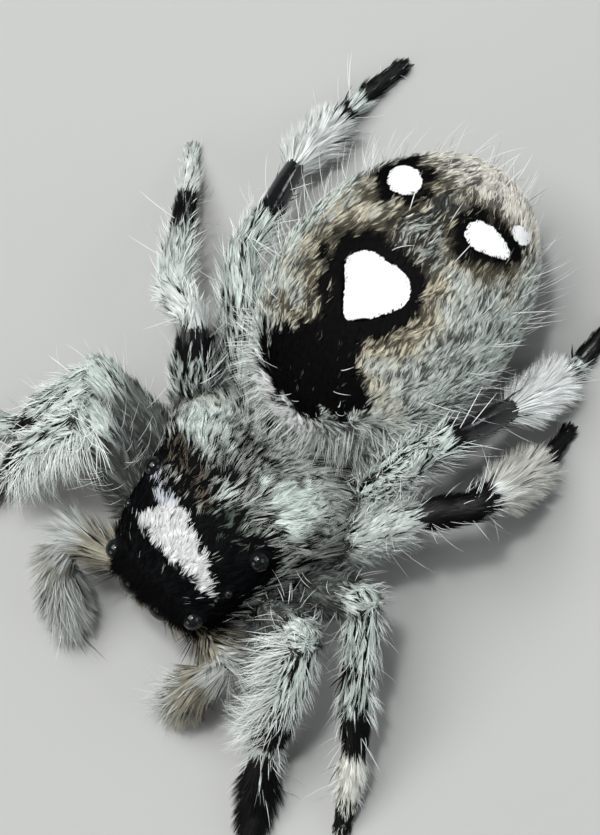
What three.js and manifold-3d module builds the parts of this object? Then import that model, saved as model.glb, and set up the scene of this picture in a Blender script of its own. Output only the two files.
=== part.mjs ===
// A jumping spider, life size, standing still on its eight feet.
// Millimetres, +Z up. The spider faces -Y, and its left side is +X.
// Body sizes are measured over the short coat of hair.
import * as THREE from 'three';
import { mergeVertices } from 'three/addons/utils/BufferGeometryUtils.js';
import Module from 'manifold-3d';

const wasm = await Module();
wasm.setup();

// ---------- driving dimensions ----------

// Half of the clearance between two neighbouring pieces of a limb.
const jointGap = 0.02;
// Clearance round a piece that lies against the body or in a socket.
const bodyGap = 0.04;
// Clearance under an eye's dome.
const eyeGap = 0.01;

// Carapace: the head and thorax shield. y is measured from the rear pair of eyes.
const carapace = {
  front: -2.62,
  rear: 3.1,
  floor: 2.3,
  widest: 2.95,
  // Half width and crown height at places along the shield.
  stations: [
    { y: -2.62, half: 1.66, crown: 4.2 },
    { y: -1.5, half: 2.0, crown: 4.75 },
    { y: 0.0, half: 2.26, crown: 5.05 },
    { y: 1.3, half: 2.62, crown: 4.95 },
    { y: 2.1, half: 2.45, crown: 4.3 },
    { y: 2.7, half: 1.9, crown: 3.4 },
    { y: 3.1, half: 1.4, crown: 3.05 },
  ],
};

// Abdomen: an egg-shaped body, swung a little to the right.
const abdomen = {
  centre: new THREE.Vector3(-0.2, 7.22, 3.5),
  halfLength: 4.2,
  halfWidth: 3.28,
  rise: 2.85,
  drop: 2.7,
  swing: THREE.MathUtils.degToRad(1.8),
};

// Sternum: the thick plate between the hips.
const sternum = { y: 0.95, z: 1.64, halfWidth: 0.68, halfLength: 1.85, halfHeight: 0.62 };

// Eyes: four pairs, named as on a real spider, with the ball's centre on the left side.
const eyes = [
  { name: 'eye_front_middle', radius: 0.45, x: 0.5, y: -2.42, z: 3.5 },
  { name: 'eye_front_side', radius: 0.27, x: 1.34, y: -2.22, z: 3.7 },
  { name: 'eye_small_rear', radius: 0.11, x: 1.72, y: -1.12, z: 4.28 },
  { name: 'eye_rear_side', radius: 0.26, x: 1.79, y: 0.0, z: 4.5 },
];

// Legs: the four pairs from the front, with the end of each hip on the left side,
// the five lengths from femur to tarsus, and how stout the pair is.
const pairs = [
  { hip: [2.2, -0.95, 1.9], root: [0.95, -0.45, 1.5], lengths: [3.2, 1.9, 2.4, 1.9, 1.1], stout: 1.14 },
  { hip: [2.5, 0.3, 1.85], root: [0.95, 0.5, 1.5], lengths: [2.9, 1.8, 2.2, 1.7, 1.0], stout: 1.0 },
  { hip: [2.5, 1.5, 1.85], root: [0.95, 1.4, 1.5], lengths: [2.9, 1.5, 2.0, 2.0, 1.1], stout: 0.95 },
  { hip: [2.15, 2.85, 1.85], root: [0.9, 2.3, 1.5], lengths: [3.5, 1.6, 2.4, 2.4, 1.3], stout: 0.96 },
];

// Pose of every leg. turn: the heading of each of the five lengths in degrees, from
// straight out to the side (0) towards the rear (+) or the front (-).
// lift: the slope of the first four lengths; the fifth comes down on the floor.
const poses = [
  { side: 'left', pair: 0, turn: [8, -76, -86, -66, -58], lift: [57, -41, -55, -33] },
  { side: 'left', pair: 1, turn: [19, -61, -57, -62, -66], lift: [47, -36, -32, -36] },
  { side: 'left', pair: 2, turn: [53, 50, 88, 87, 98], lift: [42, 8, -60, -53] },
  { side: 'left', pair: 3, turn: [61, 76, 80, 88, 92], lift: [55, -42, -46, -45] },
  { side: 'right', pair: 0, turn: [24, -56, -53, -59, -62], lift: [56, -40, -52, -36] },
  { side: 'right', pair: 1, turn: [13, -57, -60, -35, -28], lift: [40, -39, -49, -18] },
  { side: 'right', pair: 2, turn: [56, 8, 46, 47, 45], lift: [38, -36, -30, -34] },
  { side: 'right', pair: 3, turn: [53, 69, 67, 89, 99], lift: [24, -35, -33, -16] },
];

// Radii at the start, the belly and the end of each length of a leg, before stout.
const girths = [
  { name: 'femur', start: 0.46, belly: 0.62, end: 0.49 },
  { name: 'patella', start: 0.47, belly: 0.5, end: 0.44 },
  { name: 'tibia', start: 0.43, belly: 0.46, end: 0.36 },
  { name: 'metatarsus', start: 0.34, belly: 0.33, end: 0.3 },
  { name: 'tarsus', start: 0.3, belly: 0.29, end: 0.26 },
];
const coxaRadius = 0.43;
// Height of the middle of a foot's tip: the sole is cut flat on the floor below it.
const tipHeight = 0.17;

// Palps: the pair of short feelers beside the jaws, with four lengths each.
const palps = [
  { side: 'left', turn: [-4, -113, -109, -106], lift: [33, -29, -48, -58] },
  { side: 'right', turn: [-13, -84, -120, -127], lift: [22, -30, -43, -47] },
];
const palp = {
  root: [1.25, -2.4, 2.0],
  lengths: [1.55, 0.85, 0.75, 1.25],
  girths: [
    { start: 0.27, belly: 0.34, end: 0.32 },
    { start: 0.32, belly: 0.35, end: 0.33 },
    { start: 0.33, belly: 0.36, end: 0.35 },
    { start: 0.35, belly: 0.38, end: 0.27 },
  ],
};

// Jaws and fangs.
const jaw = { x: 0.56, y: -2.16, top: 2.5, tip: 0.85, radius: 0.54, lean: 0.2 };
const fang = { length: 0.75, radius: 0.15 };

// ---------- materials ----------

function coat(colour, roughness, metalness = 0) {
  return new THREE.MeshStandardMaterial({ color: colour, roughness, metalness });
}

const greyHair = coat('#86857b', 0.85);
const paleLegHair = coat('#98a29a', 0.8);
const blackLeg = coat('#1c1d21', 0.4);
const blackShield = coat('#16181d', 0.3);
const eyeGlass = coat('#050608', 0.05);
const darkUnderside = coat('#3a3936', 0.7);
const greenJaw = coat('#1d4f49', 0.25, 0.6);
const whitePalpHair = coat('#cfd2cb', 0.85);
const fangHorn = coat('#2a120b', 0.2);

// ---------- solids ----------

// A closed three.js geometry as a manifold solid.
function solidFrom(geometry) {
  const bare = geometry.clone();
  bare.deleteAttribute('normal');
  bare.deleteAttribute('uv');
  const merged = mergeVertices(bare, 1e-4);
  return new wasm.Manifold(new wasm.Mesh({
    numProp: 3,
    vertProperties: new Float32Array(merged.attributes.position.array),
    triVerts: new Uint32Array(merged.index.array),
  }));
}

// A manifold solid as a three.js geometry.
function geometryFrom(solid) {
  const mesh = solid.getMesh();
  const geometry = new THREE.BufferGeometry();
  geometry.setAttribute('position', new THREE.BufferAttribute(new Float32Array(mesh.vertProperties), 3));
  geometry.setIndex(new THREE.BufferAttribute(new Uint32Array(mesh.triVerts), 1));
  geometry.computeVertexNormals();
  return geometry;
}

// A big block whose near face passes through a point, facing against a direction.
function blockBeyond(point, direction, offset) {
  const size = 8;
  const block = new THREE.BoxGeometry(size, size, size);
  block.translate(0, 0, size / 2 + offset);
  block.applyQuaternion(new THREE.Quaternion().setFromUnitVectors(
    new THREE.Vector3(0, 0, 1), direction.clone().normalize()));
  block.translate(point.x, point.y, point.z);
  return solidFrom(block);
}

// A value between two stations along the shield, in a straight line from one to the next.
function along(stations, y, key) {
  const last = stations.length - 1;
  if (y <= stations[0].y) return stations[0][key];
  if (y >= stations[last].y) return stations[last][key];
  const next = stations.findIndex((station) => station.y > y);
  const from = stations[next - 1];
  const to = stations[next];
  return THREE.MathUtils.lerp(from[key], to[key], (y - from.y) / (to.y - from.y));
}

// Keeps the sign and raises the size: rounds a circle into a squarer curve.
function powered(value, power) {
  return Math.sign(value) * Math.abs(value) ** power;
}

// A ball whose poles lie along Y, with every point moved by a function of the
// polar angle from the front and the angle round from the left side.
function mouldedBall(around, lengthwise, place) {
  const ball = new THREE.SphereGeometry(1, around, lengthwise);
  const position = ball.attributes.position;
  const unit = new THREE.Vector3();
  for (let i = 0; i < position.count; i += 1) {
    unit.fromBufferAttribute(position, i);
    const polar = Math.acos(THREE.MathUtils.clamp(-unit.y, -1, 1));
    const round = Math.atan2(unit.z, unit.x);
    const point = place(polar, round);
    position.setXYZ(i, point.x, point.y, point.z);
  }
  return solidFrom(ball);
}

// ---------- body ----------

// The shield: blunt in front, squared in section, flat below.
function carapaceSolid(grow) {
  const middle = (carapace.front + carapace.rear) / 2;
  const half = (carapace.rear - carapace.front) / 2 + grow;
  return mouldedBall(22, 16, (polar, round) => {
    const y = middle - half * powered(Math.cos(polar), 0.6);
    const full = Math.sin(polar) ** (polar < Math.PI / 2 ? 0.34 : 0.6);
    const width = (along(carapace.stations, y, 'half') + grow) * full;
    const crown = (along(carapace.stations, y, 'crown') - carapace.widest + grow) * full;
    const keel = (carapace.widest - carapace.floor + grow) * full;
    const up = powered(Math.sin(round), 0.74);
    return new THREE.Vector3(
      width * powered(Math.cos(round), 0.74),
      y,
      carapace.widest + (up > 0 ? crown : keel) * up,
    );
  });
}

// The abdomen: an egg, fullest before its middle and drooping towards the spinnerets.
function abdomenSolid(grow) {
  const solid = mouldedBall(22, 15, (polar, round) => {
    const lengthwise = -Math.cos(polar);
    const full = Math.sin(polar);
    const taper = 1 - 0.05 * lengthwise;
    const up = Math.sin(round);
    const height = (up > 0 ? abdomen.rise : abdomen.drop) * (1 - 0.08 * lengthwise) + grow;
    return new THREE.Vector3(
      (abdomen.halfWidth + grow) * taper * full * Math.cos(round),
      (abdomen.halfLength + grow) * lengthwise,
      height * full * up - 0.22 * lengthwise * (1 + lengthwise) / 2,
    );
  });
  const geometry = geometryFrom(solid);
  geometry.rotateZ(abdomen.swing);
  geometry.translate(abdomen.centre.x, abdomen.centre.y, abdomen.centre.z);
  return solidFrom(geometry);
}

function ellipsoidSolid(centre, half, around, lengthwise) {
  const ball = new THREE.SphereGeometry(1, around, lengthwise);
  ball.scale(half[0], half[1], half[2]);
  ball.translate(centre[0], centre[1], centre[2]);
  return solidFrom(ball);
}

function sternumSolid(grow) {
  const half = [sternum.halfWidth + grow, sternum.halfLength + grow, sternum.halfHeight + grow];
  return ellipsoidSolid([0, sternum.y, sternum.z], half, 14, 8);
}

// ---------- limbs ----------

// A limb piece between two points: a lathe with rounded ends centred on the points.
function limbSolid(from, to, girth, around = 10) {
  const length = from.distanceTo(to);
  const corner = Math.SQRT1_2;
  const profile = [
    [0, -girth.start],
    [girth.start * corner, -girth.start * corner],
    [girth.start, 0],
    [girth.belly, length * 0.4],
    [girth.end, length],
    [girth.end * corner, length + girth.end * corner],
    [0, length + girth.end],
  ].map(([radius, height]) => new THREE.Vector2(radius, height));
  const lathe = new THREE.LatheGeometry(profile, around);
  const axis = to.clone().sub(from).normalize();
  lathe.applyQuaternion(new THREE.Quaternion().setFromUnitVectors(new THREE.Vector3(0, 1, 0), axis));
  lathe.translate(from.x, from.y, from.z);
  return solidFrom(lathe);
}

// A unit vector from a heading and a slope in degrees, on the left (1) or right (-1) side.
function heading(turn, lift, side) {
  const round = THREE.MathUtils.degToRad(turn);
  const slope = THREE.MathUtils.degToRad(lift);
  return new THREE.Vector3(
    side * Math.cos(slope) * Math.cos(round),
    Math.cos(slope) * Math.sin(round),
    Math.sin(slope),
  );
}

// The joints of a limb, from its root out to its tip.
function jointsOf(root, lengths, turn, lift, side) {
  const joints = [root.clone()];
  lengths.forEach((length, i) => {
    const last = joints[joints.length - 1];
    const slope = lift[i] ?? THREE.MathUtils.radToDeg(Math.asin((tipHeight - last.z) / length));
    joints.push(last.clone().addScaledVector(heading(turn[i], slope, side), length));
  });
  return joints;
}

// Cuts a piece on the plane that halves the bend between it and the next piece.
function cutAtBend(solid, before, joint, after) {
  const inward = joint.clone().sub(before).normalize();
  const outward = after.clone().sub(joint).normalize();
  return solid.subtract(blockBeyond(joint, inward.add(outward), -jointGap));
}

function thickened(girth, stout) {
  return { start: girth.start * stout, belly: girth.belly * stout, end: girth.end * stout };
}

// The pieces of one leg: coxa, femur, patella, tibia, and the foot made of two lengths.
function legPieces(pose, keepOut) {
  const side = pose.side === 'left' ? 1 : -1;
  const pair = pairs[pose.pair];
  const root = new THREE.Vector3(side * pair.root[0], pair.root[1], pair.root[2]);
  const hip = new THREE.Vector3(side * pair.hip[0], pair.hip[1], pair.hip[2]);
  const joints = [root, ...jointsOf(hip, pair.lengths, pose.turn, pose.lift, side)];
  const coxaGirth = { start: coxaRadius * 0.9, belly: coxaRadius, end: girths[0].start * pair.stout };
  const spokes = [6, 9, 8, 8, 6, 6];
  const spans = [coxaGirth, ...girths.map((girth) => thickened(girth, pair.stout))];
  const pieces = spans.map((girth, i) => limbSolid(joints[i], joints[i + 1], girth, spokes[i]));
  const trimmed = pieces.map((piece, i) => {
    let result = piece;
    if (i > 0 && i < 5) result = cutAtBend(result, joints[i + 1], joints[i], joints[i - 1]);
    if (i < 4) result = cutAtBend(result, joints[i], joints[i + 1], joints[i + 2]);
    return result;
  });
  const floor = blockBeyond(new THREE.Vector3(joints[6].x, joints[6].y, 0), new THREE.Vector3(0, 0, -1), 0);
  const foot = trimmed[4].add(trimmed[5]).subtract(floor);
  const clear = (solid) => keepOut.reduce((left, tool) => left.subtract(tool), solid);
  return {
    coxa: clear(trimmed[0]),
    femur: clear(trimmed[1]),
    patella: trimmed[2],
    tibia: trimmed[3],
    foot,
  };
}

// One palp: four lengths joined into one piece.
function palpSolid(pose, keepOut) {
  const side = pose.side === 'left' ? 1 : -1;
  const root = new THREE.Vector3(side * palp.root[0], palp.root[1], palp.root[2]);
  const joints = jointsOf(root, palp.lengths, pose.turn, pose.lift, side);
  const spans = palp.girths.map((girth, i) => limbSolid(joints[i], joints[i + 1], girth, 6));
  const joined = spans.reduce((left, span) => left.add(span));
  return keepOut.reduce((left, tool) => left.subtract(tool), joined);
}

// ---------- head ----------

// An eye: a ball, of which only the dome stands out of the shield.
function eyeSolid(eye, side) {
  const rows = eye.radius > 0.2 ? 7 : 5;
  const ball = new THREE.SphereGeometry(eye.radius, rows + 4, rows);
  ball.rotateX(Math.PI / 2);
  ball.translate(side * eye.x, eye.y, eye.z);
  return solidFrom(ball);
}

// A jaw: a stout drop that leans forward a little towards its foot.
function jawSolid(side, grow) {
  const height = jaw.top - jaw.tip;
  const profile = [
    new THREE.Vector2(0, 0),
    new THREE.Vector2(0.55, 0.02),
    new THREE.Vector2(0.85, 0.14),
    new THREE.Vector2(1, 0.45),
    new THREE.Vector2(0.98, 0.75),
    new THREE.Vector2(0.8, 0.97),
    new THREE.Vector2(0, 1),
  ].map((point) => new THREE.Vector2(point.x * (jaw.radius + grow), jaw.tip + point.y * height));
  const lathe = new THREE.LatheGeometry(profile, 11);
  lathe.rotateX(Math.PI / 2);
  const position = lathe.attributes.position;
  for (let i = 0; i < position.count; i += 1) {
    const down = (jaw.top - position.getZ(i)) / height;
    position.setX(i, position.getX(i) + side * (jaw.x - 0.05 * down));
    position.setY(i, position.getY(i) + jaw.y - jaw.lean * down);
  }
  return solidFrom(lathe);
}

// A fang: a short curved thorn folded inwards below the jaw.
function fangSolid(side) {
  const cone = new THREE.CylinderGeometry(0.05, fang.radius, fang.length, 8, 4);
  const position = cone.attributes.position;
  for (let i = 0; i < position.count; i += 1) {
    const out = (position.getY(i) + fang.length / 2) / fang.length;
    position.setX(i, position.getX(i) - side * 0.22 * out * out);
  }
  cone.rotateZ(side * THREE.MathUtils.degToRad(62));
  cone.rotateX(THREE.MathUtils.degToRad(24));
  cone.translate(side * (jaw.x - 0.02), jaw.y - 0.02, jaw.tip - 0.05);
  return solidFrom(cone);
}

// The mouth: a lip with a lobe on each side, behind the jaws.
function mouthSolid() {
  const lip = ellipsoidSolid([0, -1.28, 1.45], [0.3, 0.46, 0.42], 7, 5);
  const leftLobe = ellipsoidSolid([0.36, -1.36, 1.42], [0.27, 0.56, 0.46], 7, 5);
  const rightLobe = ellipsoidSolid([-0.36, -1.36, 1.42], [0.27, 0.56, 0.46], 7, 5);
  return lip.add(leftLobe).add(rightLobe);
}

// The spinnerets: two big rear ones and two front ones, held close together.
function spinneretSolid() {
  const root = new THREE.Vector3(-0.33, 10.25, 1.85);
  const tips = [
    [-0.26, 0.72, -0.1],
    [0.26, 0.72, -0.1],
    [-0.22, 0.42, -0.42],
    [0.22, 0.42, -0.42],
  ];
  const girth = { start: 0.28, belly: 0.26, end: 0.17 };
  return tips.map((tip) => {
    const start = new THREE.Vector3(root.x + tip[0] * 0.7, root.y, root.z);
    const end = new THREE.Vector3(root.x + tip[0], root.y + tip[1], root.z + tip[2]);
    return limbSolid(start, end, girth, 6);
  }).reduce((left, tip) => left.add(tip));
}

// ---------- assembly ----------

const group = new THREE.Group();

function addPiece(name, solid, material) {
  const mesh = new THREE.Mesh(geometryFrom(solid), material);
  mesh.name = name;
  group.add(mesh);
}

const shieldClear = carapaceSolid(bodyGap);
const eyeClear = carapaceSolid(eyeGap);
const sternumClear = sternumSolid(bodyGap);
const abdomenClear = abdomenSolid(bodyGap);
const jawsClear = jawSolid(1, bodyGap).add(jawSolid(-1, bodyGap));

addPiece('carapace', carapaceSolid(0), blackShield);
[1, -1].forEach((side) => {
  const word = side > 0 ? 'left' : 'right';
  eyes.forEach((eye) => {
    addPiece(`${eye.name}_${word}`, eyeSolid(eye, side).subtract(eyeClear), eyeGlass);
  });
});
addPiece('abdomen', abdomenSolid(0), greyHair);
addPiece('sternum', sternumSolid(0).subtract(shieldClear), darkUnderside);

const waist = limbSolid(
  new THREE.Vector3(0, 2.55, 1.95),
  new THREE.Vector3(0, 3.7, 2.3),
  { start: 0.4, belly: 0.38, end: 0.4 },
  8,
);
const waistCut = waist.subtract(shieldClear).subtract(sternumClear).subtract(abdomenClear);
addPiece('pedicel', waistCut, darkUnderside);
addPiece('spinnerets', spinneretSolid().subtract(abdomenClear), darkUnderside);
addPiece('mouth', mouthSolid().subtract(sternumClear).subtract(jawsClear), darkUnderside);

[1, -1].forEach((side) => {
  const word = side > 0 ? 'left' : 'right';
  addPiece(`jaw_${word}`, jawSolid(side, 0).subtract(shieldClear), greenJaw);
  addPiece(`fang_${word}`, fangSolid(side).subtract(jawsClear), fangHorn);
});

palps.forEach((pose) => {
  const keepOut = [shieldClear, jawsClear];
  addPiece(`palp_${pose.side}`, palpSolid(pose, keepOut), whitePalpHair);
});

poses.forEach((pose) => {
  const pieces = legPieces(pose, [shieldClear, sternumClear]);
  const stem = `leg${pose.pair + 1}_${pose.side}`;
  addPiece(`${stem}_coxa`, pieces.coxa, darkUnderside);
  addPiece(`${stem}_femur`, pieces.femur, paleLegHair);
  addPiece(`${stem}_patella`, pieces.patella, paleLegHair);
  addPiece(`${stem}_tibia`, pieces.tibia, pose.pair < 2 ? paleLegHair : blackLeg);
  addPiece(`${stem}_foot`, pieces.foot, blackLeg);
});

// The origin is the middle of the spider's box, on the floor.
const box = new THREE.Box3().setFromObject(group);
group.position.set(-(box.min.x + box.max.x) / 2, -(box.min.y + box.max.y) / 2, -box.min.z);

export default group;
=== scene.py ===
"""A jumping spider as a still, life-size museum model: skin, shell, eyes, jaws, claws and coat."""

import math
from types import SimpleNamespace

import bmesh
import bpy
import numpy as np
from bpy.props import FloatProperty, FloatVectorProperty, IntProperty, PointerProperty
from mathutils import Matrix, Vector
from mathutils.kdtree import KDTree


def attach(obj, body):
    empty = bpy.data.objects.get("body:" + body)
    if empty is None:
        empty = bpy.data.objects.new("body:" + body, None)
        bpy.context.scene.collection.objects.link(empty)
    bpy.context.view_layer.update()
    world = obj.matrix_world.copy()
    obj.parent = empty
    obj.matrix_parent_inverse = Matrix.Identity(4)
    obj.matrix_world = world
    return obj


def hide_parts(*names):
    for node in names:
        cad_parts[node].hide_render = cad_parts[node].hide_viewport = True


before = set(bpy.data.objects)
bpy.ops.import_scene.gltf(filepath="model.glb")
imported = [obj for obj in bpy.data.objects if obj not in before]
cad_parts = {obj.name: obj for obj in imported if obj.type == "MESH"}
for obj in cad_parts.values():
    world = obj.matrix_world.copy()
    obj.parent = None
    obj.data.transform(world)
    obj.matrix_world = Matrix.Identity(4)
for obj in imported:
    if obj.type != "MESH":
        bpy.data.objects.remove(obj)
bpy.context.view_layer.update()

bl_info = {
    "name": "Jumping spider",
    "version": (1, 0, 0),
    "blender": (4, 5, 0),
    "location": "3D View > Sidebar > Spider",
    "description": "A furry jumping spider standing on its eight feet, life size",
    "category": "Object",
}

MM = 0.001

# ---------- sizes of the body, in millimetres ----------
# The body's own frame: y is measured from the rear pair of big eyes, +Z is up, the left side is +X.

# From the body's own frame to the model's frame.
SHIFT = np.array([0.64308, -3.07958, 0.0])

# The head shield: y, half width and crown height at places along it.
SHIELD_FRONT, SHIELD_REAR, SHIELD_FLOOR, SHIELD_WIDEST = -2.62, 3.1, 2.3, 2.95
SHIELD_STATIONS = np.array([
    (-2.62, 1.66, 4.2),
    (-1.5, 2.0, 4.75),
    (0.0, 2.26, 5.05),
    (1.3, 2.62, 4.95),
    (2.1, 2.45, 4.3),
    (2.7, 1.9, 3.4),
    (3.1, 1.4, 3.05),
])

ABDOMEN_CENTRE = np.array([-0.2, 7.22, 3.5])
ABDOMEN_HALF_WIDTH, ABDOMEN_HALF_LENGTH, ABDOMEN_RISE, ABDOMEN_DROP = 3.28, 4.2, 2.85, 2.7
ABDOMEN_SWING = math.radians(1.8)

# Eyes: radius and the middle of the left ball.
EYES = {
    "eye_front_middle": (0.45, (0.5, -2.42, 3.5)),
    "eye_front_side": (0.27, (1.34, -2.22, 3.7)),
    "eye_small_rear": (0.11, (1.72, -1.12, 4.28)),
    "eye_rear_side": (0.26, (1.79, 0.0, 4.5)),
}

# Legs: hip, root, the five lengths and how stout the pair is.
LEG_PAIRS = [
    ((2.2, -0.95, 1.9), (0.95, -0.45, 1.5), (3.2, 1.9, 2.4, 1.9, 1.1), 1.14),
    ((2.5, 0.3, 1.85), (0.95, 0.5, 1.5), (2.9, 1.8, 2.2, 1.7, 1.0), 1.0),
    ((2.5, 1.5, 1.85), (0.95, 1.4, 1.5), (2.9, 1.5, 2.0, 2.0, 1.1), 0.95),
    ((2.15, 2.85, 1.85), (0.9, 2.3, 1.5), (3.5, 1.6, 2.4, 2.4, 1.3), 0.96),
]

# The pose of each leg: heading of the five lengths, and slope of the first four, in degrees.
LEG_POSES = {
    "leg1_left": ((8, -76, -86, -66, -58), (57, -41, -55, -33)),
    "leg2_left": ((19, -61, -57, -62, -66), (47, -36, -32, -36)),
    "leg3_left": ((53, 50, 88, 87, 98), (42, 8, -60, -53)),
    "leg4_left": ((61, 76, 80, 88, 92), (55, -42, -46, -45)),
    "leg1_right": ((24, -56, -53, -59, -62), (56, -40, -52, -36)),
    "leg2_right": ((13, -57, -60, -35, -28), (40, -39, -49, -18)),
    "leg3_right": ((56, 8, 46, 47, 45), (38, -36, -30, -34)),
    "leg4_right": ((53, 69, 67, 89, 99), (24, -35, -33, -16)),
}

# Radii at the start, the belly and the end of femur, patella, tibia, metatarsus and tarsus.
LEG_GIRTHS = (
    (0.46, 0.62, 0.49),
    (0.47, 0.5, 0.44),
    (0.43, 0.46, 0.36),
    (0.34, 0.33, 0.3),
    (0.3, 0.29, 0.26),
)
LEG_COAT_DEPTHS = (0.1, 0.13, 0.12, 0.11, 0.08, 0.05)
COXA_RADIUS = 0.43
FOOT_TIP_HEIGHT = 0.17

PALP_ROOT, PALP_LENGTHS = (1.25, -2.4, 2.0), (1.55, 0.85, 0.75, 1.25)
PALP_POSES = {
    "palp_left": ((-4, -113, -109, -106), (33, -29, -48, -58)),
    "palp_right": ((-13, -84, -120, -127), (22, -30, -43, -47)),
}
PALP_GIRTHS = ((0.27, 0.34, 0.32), (0.32, 0.35, 0.33), (0.33, 0.36, 0.35), (0.35, 0.38, 0.27))
PALP_COAT_DEPTH = 0.1

JAW_X, JAW_Y, JAW_TOP, JAW_TIP, JAW_RADIUS, JAW_LEAN = 0.56, -2.16, 2.5, 0.85, 0.54, 0.2
FANG_LENGTH, FANG_RADIUS = 0.75, 0.15

LEG_PIECES = ("coxa", "femur", "patella", "tibia", "foot")

# The front edge of the abdomen: y in the middle, and how it runs back to the sides.
COLLAR_X, COLLAR_Y, COLLAR_BEND = -0.2, 3.32, 0.33

# Coat: how deep roots of hairs and of one-step hairs sit in the skin, and how near the floor hairs and claws reach.
HAIR_SINK, SHORT_HAIR_SINK, HAIR_CLEARANCE, CLAW_CLEARANCE = 0.02, 0.008, 0.012, 0.005
# Coat: how far outside the plain shape of abdomen or limb a root may lie, and where along a hair its colour is read.
ON_ABDOMEN, ON_LIMB, HAIR_MIDDLE = 0.03, 0.12, 0.45
# The width of one tuft's patch on the map of a coat piece.
MAP_PATCH = 0.003

# The camera, in the model's frame: place in millimetres, and its ways to the right and up.
CAMERA_PLACE = (17.38816, 0.22873, 70.9207)
CAMERA_RIGHT, CAMERA_UP = (0.72883751, 0.66013171, -0.1817196), (-0.64052298, 0.75114987, 0.15970031)

# ---------- colours ----------


def linear(code, alpha=None):
    """A colour written as sRGB hex, as linear values."""
    parts = [int(code[i:i + 2], 16) / 255 for i in (1, 3, 5)]
    straight = [c / 12.92 if c <= 0.04045 else ((c + 0.055) / 1.055) ** 2.4 for c in parts]
    return tuple(straight) if alpha is None else (*straight, alpha)


def colour_choice(name, description, code):
    """A colour that a user may change."""
    return FloatVectorProperty(
        name=name, description=description, subtype="COLOR", size=3, min=0.0, max=1.0, default=linear(code)
    )


class SPIDER_PG_colours(bpy.types.PropertyGroup):
    cuticle: colour_choice("Cuticle", "The bare shell of head and legs", "#07090C")
    pale_hair: colour_choice("Pale hair", "The grey-green hair of legs and flanks", "#E4F1EA")
    grey_hair: colour_choice("Grey hair", "The streaky hair of the abdomen", "#CBD2CA")
    tan_hair: colour_choice("Tan hair", "The warm hair round the black patches", "#CDC0A2")
    white_scale: colour_choice("White scales", "The spots and the head band", "#FBFDFC")
    blue_scale: colour_choice("Blue-white scales", "The streaky branch of the head band", "#DCE2EC")
    black_hair: colour_choice("Black hair", "The velvety black patches", "#050506")
    under_hair: colour_choice("Underside hair", "The dull hair below", "#7B7A70")
    jaw: colour_choice("Jaw", "The metallic green of the jaws", "#17574C")
    fang: colour_choice("Fang", "The red-brown horn of fangs and claws", "#3A160C")
    eye: colour_choice("Eye", "The deep of the eyes", "#050608")
    floor: colour_choice("Floor", "The pale studio floor", "#9FA09E")


def size_choice(name, description, default, low, high):
    """A size that a user may change."""
    return FloatProperty(name=name, description=description, default=default, min=low, max=high, subtype="UNSIGNED")


class SPIDER_PG_sizes(bpy.types.PropertyGroup):
    skin_grain: size_choice("Skin mesh step", "Distance between the skin's points, in millimetres", 0.08, 0.06, 0.2)
    abdomen_coat_depth: size_choice(
        "Abdomen coat depth", "How far the skin lies under the coat's outline, in millimetres", 0.2, 0.05, 0.4
    )
    abdomen_hair: size_choice("Abdomen hair", "Length of the abdomen's lying hair, in millimetres", 0.32, 0.2, 1.0)
    leg_hair: size_choice("Leg hair", "Length of the legs' lying hair, in millimetres", 0.56, 0.2, 1.2)
    long_hair: size_choice("Long hair", "Length of the hairs that stand out, in millimetres", 0.95, 0.3, 1.6)
    hair_width: size_choice("Hair width", "Width of a lying hair, in millimetres", 0.027, 0.015, 0.12)
    abdomen_hairs: size_choice("Abdomen hairs", "Hairs on a square millimetre of the abdomen", 1450.0, 20.0, 2500.0)
    head_hairs: size_choice("Head hairs", "Hairs on a square millimetre of the head shield", 1150.0, 20.0, 2500.0)
    brow_hairs: size_choice("Brow hairs", "Hairs on a square millimetre of the brow", 1300.0, 20.0, 2500.0)
    leg_hairs: size_choice("Leg hairs", "Hairs on a square millimetre of the legs", 960.0, 20.0, 2500.0)
    fringe_hairs: size_choice("Fringe hairs", "Fine hairs on a square millimetre of the legs' sides", 165.0, 5.0, 300.0)
    loose_hairs: size_choice("Loose hairs", "Long hairs on a square millimetre of the sides", 6.5, 1.0, 60.0)
    collar_hairs: size_choice("Collar hairs", "Long hairs on a square millimetre of the collar", 75.0, 5.0, 300.0)
    spines: size_choice("Spines", "Spines on a square millimetre below tibia and metatarsus", 3.5, 0.5, 20.0)
    seed: IntProperty(
        name="Seed", description="Start of the random numbers that lay the coat", default=7, min=0, subtype="UNSIGNED"
    )


class SPIDER_PG_stage(bpy.types.PropertyGroup):
    key_power: FloatProperty(
        name="Key light", description="Power of the big soft light above", default=0.48, min=0.0, unit="POWER"
    )
    lens: FloatProperty(
        name="Lens", description="Focal length of the camera", default=119.51, min=20.0, unit="CAMERA"
    )


# ---------- small helpers ----------


def sizes():
    """The chosen sizes."""
    return bpy.context.scene.spider_sizes


def own_names(group):
    """The names of the values that a group holds."""
    return [name for name in group.bl_rna.properties.keys() if name not in ("rna_type", "name")]


def hues():
    """The chosen colours, as arrays."""
    chosen = bpy.context.scene.spider_colours
    return SimpleNamespace(**{name: np.array(getattr(chosen, name)) for name in own_names(chosen)})


def unit(v):
    """Vectors of length one."""
    return v / np.maximum(np.linalg.norm(v, axis=-1, keepdims=True), 1e-12)


def smoothstep(low, high, value):
    """0 below low, 1 above high, and a soft rise between."""
    t = np.clip((value - low) / (high - low), 0, 1)
    return t * t * (3 - 2 * t)


def plateau(start, full, full_end, end, value):
    """0 outside start and end, 1 from full to full end, with soft slopes."""
    return smoothstep(start, full, value) * smoothstep(end, full_end, value)


def mixed(a, b, share):
    """From a to b by a share for each row."""
    return a + (b - a) * np.asarray(share)[..., None]


def powered(value, power):
    """Keeps the sign and raises the size: rounds a circle into a squarer curve."""
    return np.sign(value) * np.abs(value) ** power


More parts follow.
